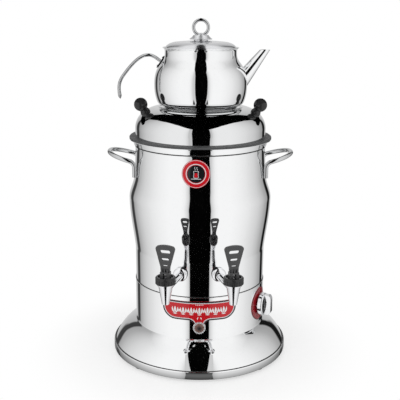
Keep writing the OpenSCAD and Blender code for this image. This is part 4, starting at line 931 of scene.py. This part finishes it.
def badge_print():
    """A silver ring round a dark field, with a glass of tea, its saucer and steam."""
    centre = np.array([BADGE_X, BADGE_Z])
    rise = np.linspace(-1, 1, 60)
    field = (
        np.stack([0 * rise, FIELD_R * rise], -1) + centre, np.maximum(FIELD_R * np.sqrt(1 - rise**2), 0.05)
    )
    rings = [(arc(centre, RING_R, 0, 360, 120), 0.7), (arc(centre, RIM_R, 0, 360, 140), 0.35)]
    glass = [
        (bezier(*(np.array(p) * [side, 1] for p in GLASS_SIDE), 24) + centre, 0.45)
        for side in (-1, 1)
    ]
    for reach, z, half in ((4.4, 4.6, 0.4), (3.2, -7.0, 0.5), (8.5, -8.6, 0.55)):
        glass.append((evenly(np.array([[-reach, z], [reach, z]]), 12) + centre, half))
    for x in (-2.0, 1.6):
        steam = bezier([x, 6.4], [x + 2.4, 8.2], [x - 2.2, 9.6], [x + 0.4, 12.0], 18)
        glass.append((steam + centre, 0.4))
    rise = np.linspace(-5.9, 1.6, 20)
    tea_half = np.interp(rise, [-5.9, -3.6, 0.0, 1.6], [2.9, 3.5, 2.7, 2.9])
    tea = (np.stack([0 * rise, rise], -1) + centre, tea_half)
    for name, marks, material, lift, columns in (
        ("badge_field", [field], BLACK_PRINT_AND_SHADOW, 0.1, 25), ("badge_ring", rings, SILVER_PRINT, 0.16, 9),
        ("badge_glass", glass, SILVER_PRINT, 0.26, 9), ("badge_tea", [tea], MATERIALS["red_plate"], 0.2, 9),
    ):
        strokes = [stroke(path, half, badge_wall, lift=lift, columns=columns) for path, half in marks]
        print_plate(name, strokes, material)


def dial_number(text, size):
    """Outline points and faces of a number, centred on its own box."""
    curve = bpy.data.curves.new("number", "FONT")
    curve.body, curve.size, curve.extrude = text, size, 0.08
    curve.align_x, curve.align_y = "CENTER", "CENTER"
    letters = placed("number", curve)
    mesh = bpy.data.meshes.new_from_object(letters.evaluated_get(bpy.context.evaluated_depsgraph_get()))
    bpy.data.objects.remove(letters)
    points = np.zeros(len(mesh.vertices) * 3)
    mesh.vertices.foreach_get("co", points)
    faces = [list(face.vertices) for face in mesh.polygons]
    bpy.data.meshes.remove(mesh)
    return points.reshape(-1, 3), faces


def dial_stroke(path, half_width):
    """A stroke on the dial, whose middle is the origin of the path."""
    return stroke(path, half_width, PLATE_R, turn=DIAL_TURN, height=DIAL_Z, columns=5)


def dial_way(step):
    """Direction of a tick from the dial's middle."""
    turn = math.radians(TICK_START - TICK_STEP * step)
    return np.array([math.cos(turn), math.sin(turn)])


def dial_print():
    """Dark rim, ticks every 13.5 degrees from 225 to -45, and numbers from 0 to 100."""
    print_plate("dial_rim", [dial_stroke(arc([0, 0], DIAL_R - 0.8, 0, 360, 120), 0.6)], BLACK_PRINT_AND_SHADOW)
    ticks = []
    for step in range(21):
        inner, half = (3.6, 0.28) if step % 4 == 0 else (2.8, 0.16)
        path = np.linspace(DIAL_R - inner, DIAL_R - 1.6, 5)[:, None] * dial_way(step)
        ticks.append(dial_stroke(path, half))
    print_plate("dial_marks", ticks, DULL_PRINT)
    points, faces, start = [], [], 0
    for step in range(6):
        letter, sides = dial_number(str(20 * step), NUMBER_SIZE)
        place = (DIAL_R - 5.6) * dial_way(4 * step)
        points.append(wrapped(letter[:, :2] + place, PLATE_R + letter[:, 2] + 0.06, DIAL_TURN, DIAL_Z))
        faces += [[v + start for v in side] for side in sides]
        start += len(letter)
    settle(make_mesh("dial_numbers", np.vstack(points), faces, sharp=30), "boiler", "red_plate", DULL_PRINT)


def knob_index():
    """Black inlay in the slot of the knob's grip, a bar with a rounded face."""
    u = np.linspace(-1, 1, 9)
    rise = np.linspace(4.6, 11.0, 8)
    top = np.stack([np.broadcast_to(0.72 * u, (8, 9)), np.broadcast_to(rise[:, None], (8, 9))], -1)
    face = wrapped(top, KNOB_FACE + 0.08 * np.sqrt(1 - u**4), DIAL_TURN, DIAL_Z)
    back = wrapped(top, KNOB_FACE - 0.5, DIAL_TURN, DIAL_Z)[:, ::-1]
    settle(swept("knob_index", np.concatenate([face, back], 1)), "thermostat_knob", "black_plastic")


# ---------- studio ----------

# greys of the soft boxes by the turn from the front, where 1 is straight behind
BOX_GREYS = (
    (0.0, 0.6), (0.1, 0.62), (0.117, 0.78), (0.14, 0.93), (0.17, 0.985), (0.29, 0.985), (0.33, 0.965),
    (0.4, 0.92), (0.47, 0.855), (0.5, 0.81), (0.567, 0.725), (0.6, 0.68), (0.667, 0.55), (0.72, 0.42),
    (0.77, 0.36), (0.85, 0.5), (0.9, 0.6), (1.0, 0.72),
)
# turn of the dark edge behind the left box, and how much further the right one lies
EDGE_TURN, EDGE_SHIFT = 0.788, 0.022
ROOF_FROM, ROOF_GREY = 0.72, 0.97
RING_SPOKES = 144
# half width of the dark gap: ahead, and what is added overhead and below the horizon
GAP_AHEAD, GAP_OVER, GAP_OVER_FROM, GAP_BELOW, GAP_BELOW_FROM = 0.311, 0.4, 0.7, 0.28, -0.42
# white cards beside the gap: heights or depths, outer line and inner lines, in metres
CARD_GREY, UPPER_Y, LOWER_Z = 0.64, -0.2, 0.075
UPPER_Z = (0.353, 0.372, 0.386, 0.42, 0.46, 0.505, 0.549, 0.61, 0.66)
UPPER_OUTER = (0.044, 0.045, 0.046, 0.052, 0.052, 0.052, 0.052, 0.052, 0.0525)
UPPER_INNER = {
    "left": (0.0435, 0.0345, 0.0325, 0.0345, 0.0365, 0.0373, 0.038, 0.0415, 0.049),
    "right": (0.0435, 0.0395, 0.039, 0.043, 0.0465, 0.0478, 0.0492, 0.0515, 0.052),
}
LOWER_Y = (-0.161, -0.185, -0.228, -0.285)
LOWER_OUTER = (0.034, 0.040, 0.052, 0.066)
LOWER_INNER = {"left": (0.028, 0.030, 0.034, 0.038), "right": (0.026, 0.028, 0.032, 0.037)}


def above_zero(tree, value, factor):
    """A value times a factor, or 0 where the value is negative."""
    return calc(tree, "MULTIPLY", calc(tree, "MAXIMUM", value, 0.0), factor)


def studio_world():
    """White for the camera, soft white for matt surfaces. Glossy rays see two tall soft
    boxes that fade outwards, with a dark gap in front between them that widens overhead,
    a thin dark edge behind each box, and a white wall and ceiling."""
    world = bpy.data.worlds.new("studio")
    bpy.context.scene.world = world
    world.use_nodes = True
    tree = world.node_tree
    tree.nodes.clear()
    side, depth, up = put(tree, "SeparateXYZ", {0: put(tree, "TexCoord").outputs["Generated"]}).outputs
    width = calc(tree, "ABSOLUTE", side)
    ahead = calc(tree, "MULTIPLY", depth, -1.0)
    turn = calc(tree, "DIVIDE", calc(tree, "ARCTAN2", width, ahead), math.pi)
    right = calc(tree, "ADD", calc(tree, "MULTIPLY", calc(tree, "SIGN", side), 0.5), 0.5)
    middle = calc(tree, "ADD", calc(tree, "MULTIPLY", right, EDGE_SHIFT), EDGE_TURN)
    reach = rescaled(tree, up, 0.0, 0.16, 0.04, 0.022)
    off = calc(tree, "DIVIDE", calc(tree, "ABSOLUTE", calc(tree, "SUBTRACT", turn, middle)), reach)
    deep = calc(tree, "SUBTRACT", 0.12, calc(tree, "MULTIPLY", right, 0.1))
    edge = rescaled(tree, off, 0.75, 1.3, deep, 1.0)
    boxes = blended(tree, 1.0, ramp(tree, turn, BOX_GREYS), edge, blend_type="MULTIPLY")
    overhead = calc(tree, "MULTIPLY", calc(tree, "SUBTRACT", up, ROOF_FROM), 6.0, clamp=True)
    roof = blended(tree, overhead, boxes, (ROOF_GREY, ROOF_GREY, ROOF_GREY, 1))
    front = above_zero(tree, ahead, GAP_AHEAD)
    strip = above_zero(tree, calc(tree, "SUBTRACT", up, GAP_OVER_FROM), GAP_OVER)
    foot = above_zero(tree, calc(tree, "SUBTRACT", GAP_BELOW_FROM, up), GAP_BELOW)
    half = calc(tree, "ADD", front, calc(tree, "ADD", strip, foot))
    clear = rescaled(tree, calc(tree, "SUBTRACT", width, half), -0.006, 0.008, 0.001, 1.0)
    pattern = blended(tree, 1.0, roof, clear, blend_type="MULTIPLY")
    seen = put(tree, "LightPath")
    mirror, soft, white = (
        put(tree, "Background", {"Color": colour, "Strength": strength})
        for colour, strength in ((pattern, 1.0), ((1, 1, 1, 1), 0.8), ((1, 1, 1, 1), 1.0))
    )
    matt = either(tree, seen.outputs["Is Glossy Ray"], soft, mirror)
    final = either(tree, seen_directly(tree, seen), matt, white)
    put(tree, "OutputWorld", {"Surface": final.outputs[0]})


def soft_light(name, place, aim, size, watts):
    """A large square lamp that lights matt surfaces and stays out of reflections."""
    data = bpy.data.lights.new(name, "AREA")
    data.energy, data.size = watts, size
    lamp = placed(name, data)
    lamp.location = place
    lamp.rotation_euler = (Vector(aim) - Vector(place)).to_track_quat("-Z", "Y").to_euler()
    lamp.visible_glossy = False


def bare_material(name):
    """A material with an empty tree; returns both."""
    material = bpy.data.materials.new(name)
    material.use_nodes = True
    material.node_tree.nodes.clear()
    return material, material.node_tree


def glow(tree, colour, strength=1.0):
    """An Emission shader."""
    return put(tree, "Emission", {"Color": colour, "Strength": strength})


def floor_material():
    """White floor that fades into the white background towards its edge and keeps a faint
    shadow and sheen near the middle. Mirrors see it only close to the feet, as a grey glow
    that goes black under the feet, a painted shadow, and it can't be seen from below."""
    material, tree = bare_material("floor")
    x, y, _ = put(tree, "SeparateXYZ", {0: put(tree, "TexCoord").outputs["Object"]}).outputs
    radius = hypotenuse(tree, x, y)
    near = rescaled(tree, radius, 0.17, 0.34, 0.4, 0.0, interpolation_type="SMOOTHSTEP")
    matt = put(tree, "BsdfPrincipled", {"Base Color": (0.93, 0.93, 0.93, 1), "Roughness": 0.18, "IOR": 1.35})
    shown = either(tree, near, glow(tree, (1, 1, 1, 1)), matt)
    seen = put(tree, "LightPath")
    mirrored = seen.outputs["Is Glossy Ray"]
    lit = either(tree, seen_directly(tree, seen), matt, shown)
    # painted contact shadow: mirrors see the floor as a glow that fades to black towards the feet
    mirrored_shadow_glow = rescaled(tree, radius, 0.166, 0.19, 0.0, 0.3)
    lit = either(tree, mirrored, lit, glow(tree, (1, 1, 1, 1), mirrored_shadow_glow))
    back = put(tree, "NewGeometry").outputs["Backfacing"]
    far = rescaled(tree, radius, 0.168, 0.23, 0.3, 1.0)
    hidden = calc(tree, "MAXIMUM", back, calc(tree, "MULTIPLY", far, mirrored))
    final = either(tree, hidden, lit, put(tree, "BsdfTransparent"))
    put(tree, "OutputMaterial", {"Surface": final.outputs[0]})
    return material


def one_sided(name, grey):
    """A card that glows on its back, which faces the object, and can't be seen from its
    front; grey 0 is black cloth."""
    material, tree = bare_material(name)
    back = put(tree, "NewGeometry").outputs["Backfacing"]
    final = either(tree, back, put(tree, "BsdfTransparent"), glow(tree, (grey, grey, grey, 1)))
    put(tree, "OutputMaterial", {"Surface": final.outputs[0]})
    return material


def stage_sheet(name, points, faces, material, mirrors_only=True):
    """A thin sheet of the studio; a card for reflections is hidden from everything else."""
    mesh = bpy.data.meshes.new(name)
    mesh.from_pydata(points, [], faces)
    mesh.materials.append(material)
    sheet = placed(name, mesh)
    if mirrors_only:
        sheet.visible_camera = sheet.visible_diffuse = False
        sheet.visible_shadow = sheet.visible_transmission = False


def ring_sheet(name, z, inner, outer, material, mirrors_only=True):
    """A flat ring, seen from above as its front, between two radii that follow the turn
    from the camera's side."""
    turn = np.linspace(-math.pi, math.pi, RING_SPOKES, endpoint=False)
    radius = np.stack([inner(turn), outer(turn)])
    points = np.stack([radius * np.sin(turn), -radius * np.cos(turn), np.full_like(radius, z)], -1)
    faces = grid_faces(2, RING_SPOKES, wrap_columns=True)[:, ::-1]
    stage_sheet(name, points.reshape(-1, 3).tolist(), faces.tolist(), material, mirrors_only)


def strip_sheet(name, near, far, material):
    """A strip between two lines of points; both lines run the same way."""
    points = np.vstack([near, far])
    count = len(near)
    faces = [(i, i + 1, count + i + 1, count + i) for i in range(count - 1)]
    stage_sheet(name, points.tolist(), faces, material)


def card_pair(label, inner, outer, y, z, facing, material):
    """A card on each side of the dark gap, between an inner and an outer line. Facing is
    -1 for upright cards, whose backs look at the object, and 1 for level ones."""
    for name, side in (("left", -1), ("right", 1)):
        lines = [np.stack(np.broadcast_arrays(side * np.array(x), y, z), -1) for x in (inner[name], outer)]
        strip_sheet("bounce_%s_%s" % (label, name), *lines[:: side * facing], material)


def make_stage():
    """Floor, and cards that only mirrors see: a black flag round the teapot's foot, and
    white strips that narrow the dark gap for the lid, the teapot and the skirt."""
    floor_edges = (lambda turn: 0 * turn, lambda turn: 0 * turn + FLOOR_R)
    ring_sheet("floor", -0.0002, *floor_edges, floor_material(), False)
    edges = [
        lambda turn, radii=radii: np.interp(np.degrees(np.abs(turn)), FLAG_TURNS, radii)
        for radii in (FLAG_INNER, FLAG_OUTER)
    ]
    ring_sheet("flag", FLAG_Z, *edges, one_sided("flag", 0.0))
    white = one_sided("bounce", CARD_GREY)
    card_pair("upper", UPPER_INNER, UPPER_OUTER, UPPER_Y, UPPER_Z, -1, white)
    card_pair("lower", LOWER_INNER, LOWER_OUTER, LOWER_Y, LOWER_Z, 1, white)
    soft_light("key_light", (-1.2, -1.3, 1.7), (0, 0, 0.25), 1.2, 9)
    soft_light("fill_light", (1.3, -1.2, 1.2), (0, 0, 0.25), 1.4, 5)


# ---------- putting it together ----------

make_camera()
studio_world()
make_stage()
dress_nodes()
spun_bodies()
side_handles()
pot_strap()
rounded_fittings()
tap_roses()
name_print()
badge_print()
dial_print()
knob_index()

scene = bpy.context.scene
scene.view_settings.view_transform = "Standard"
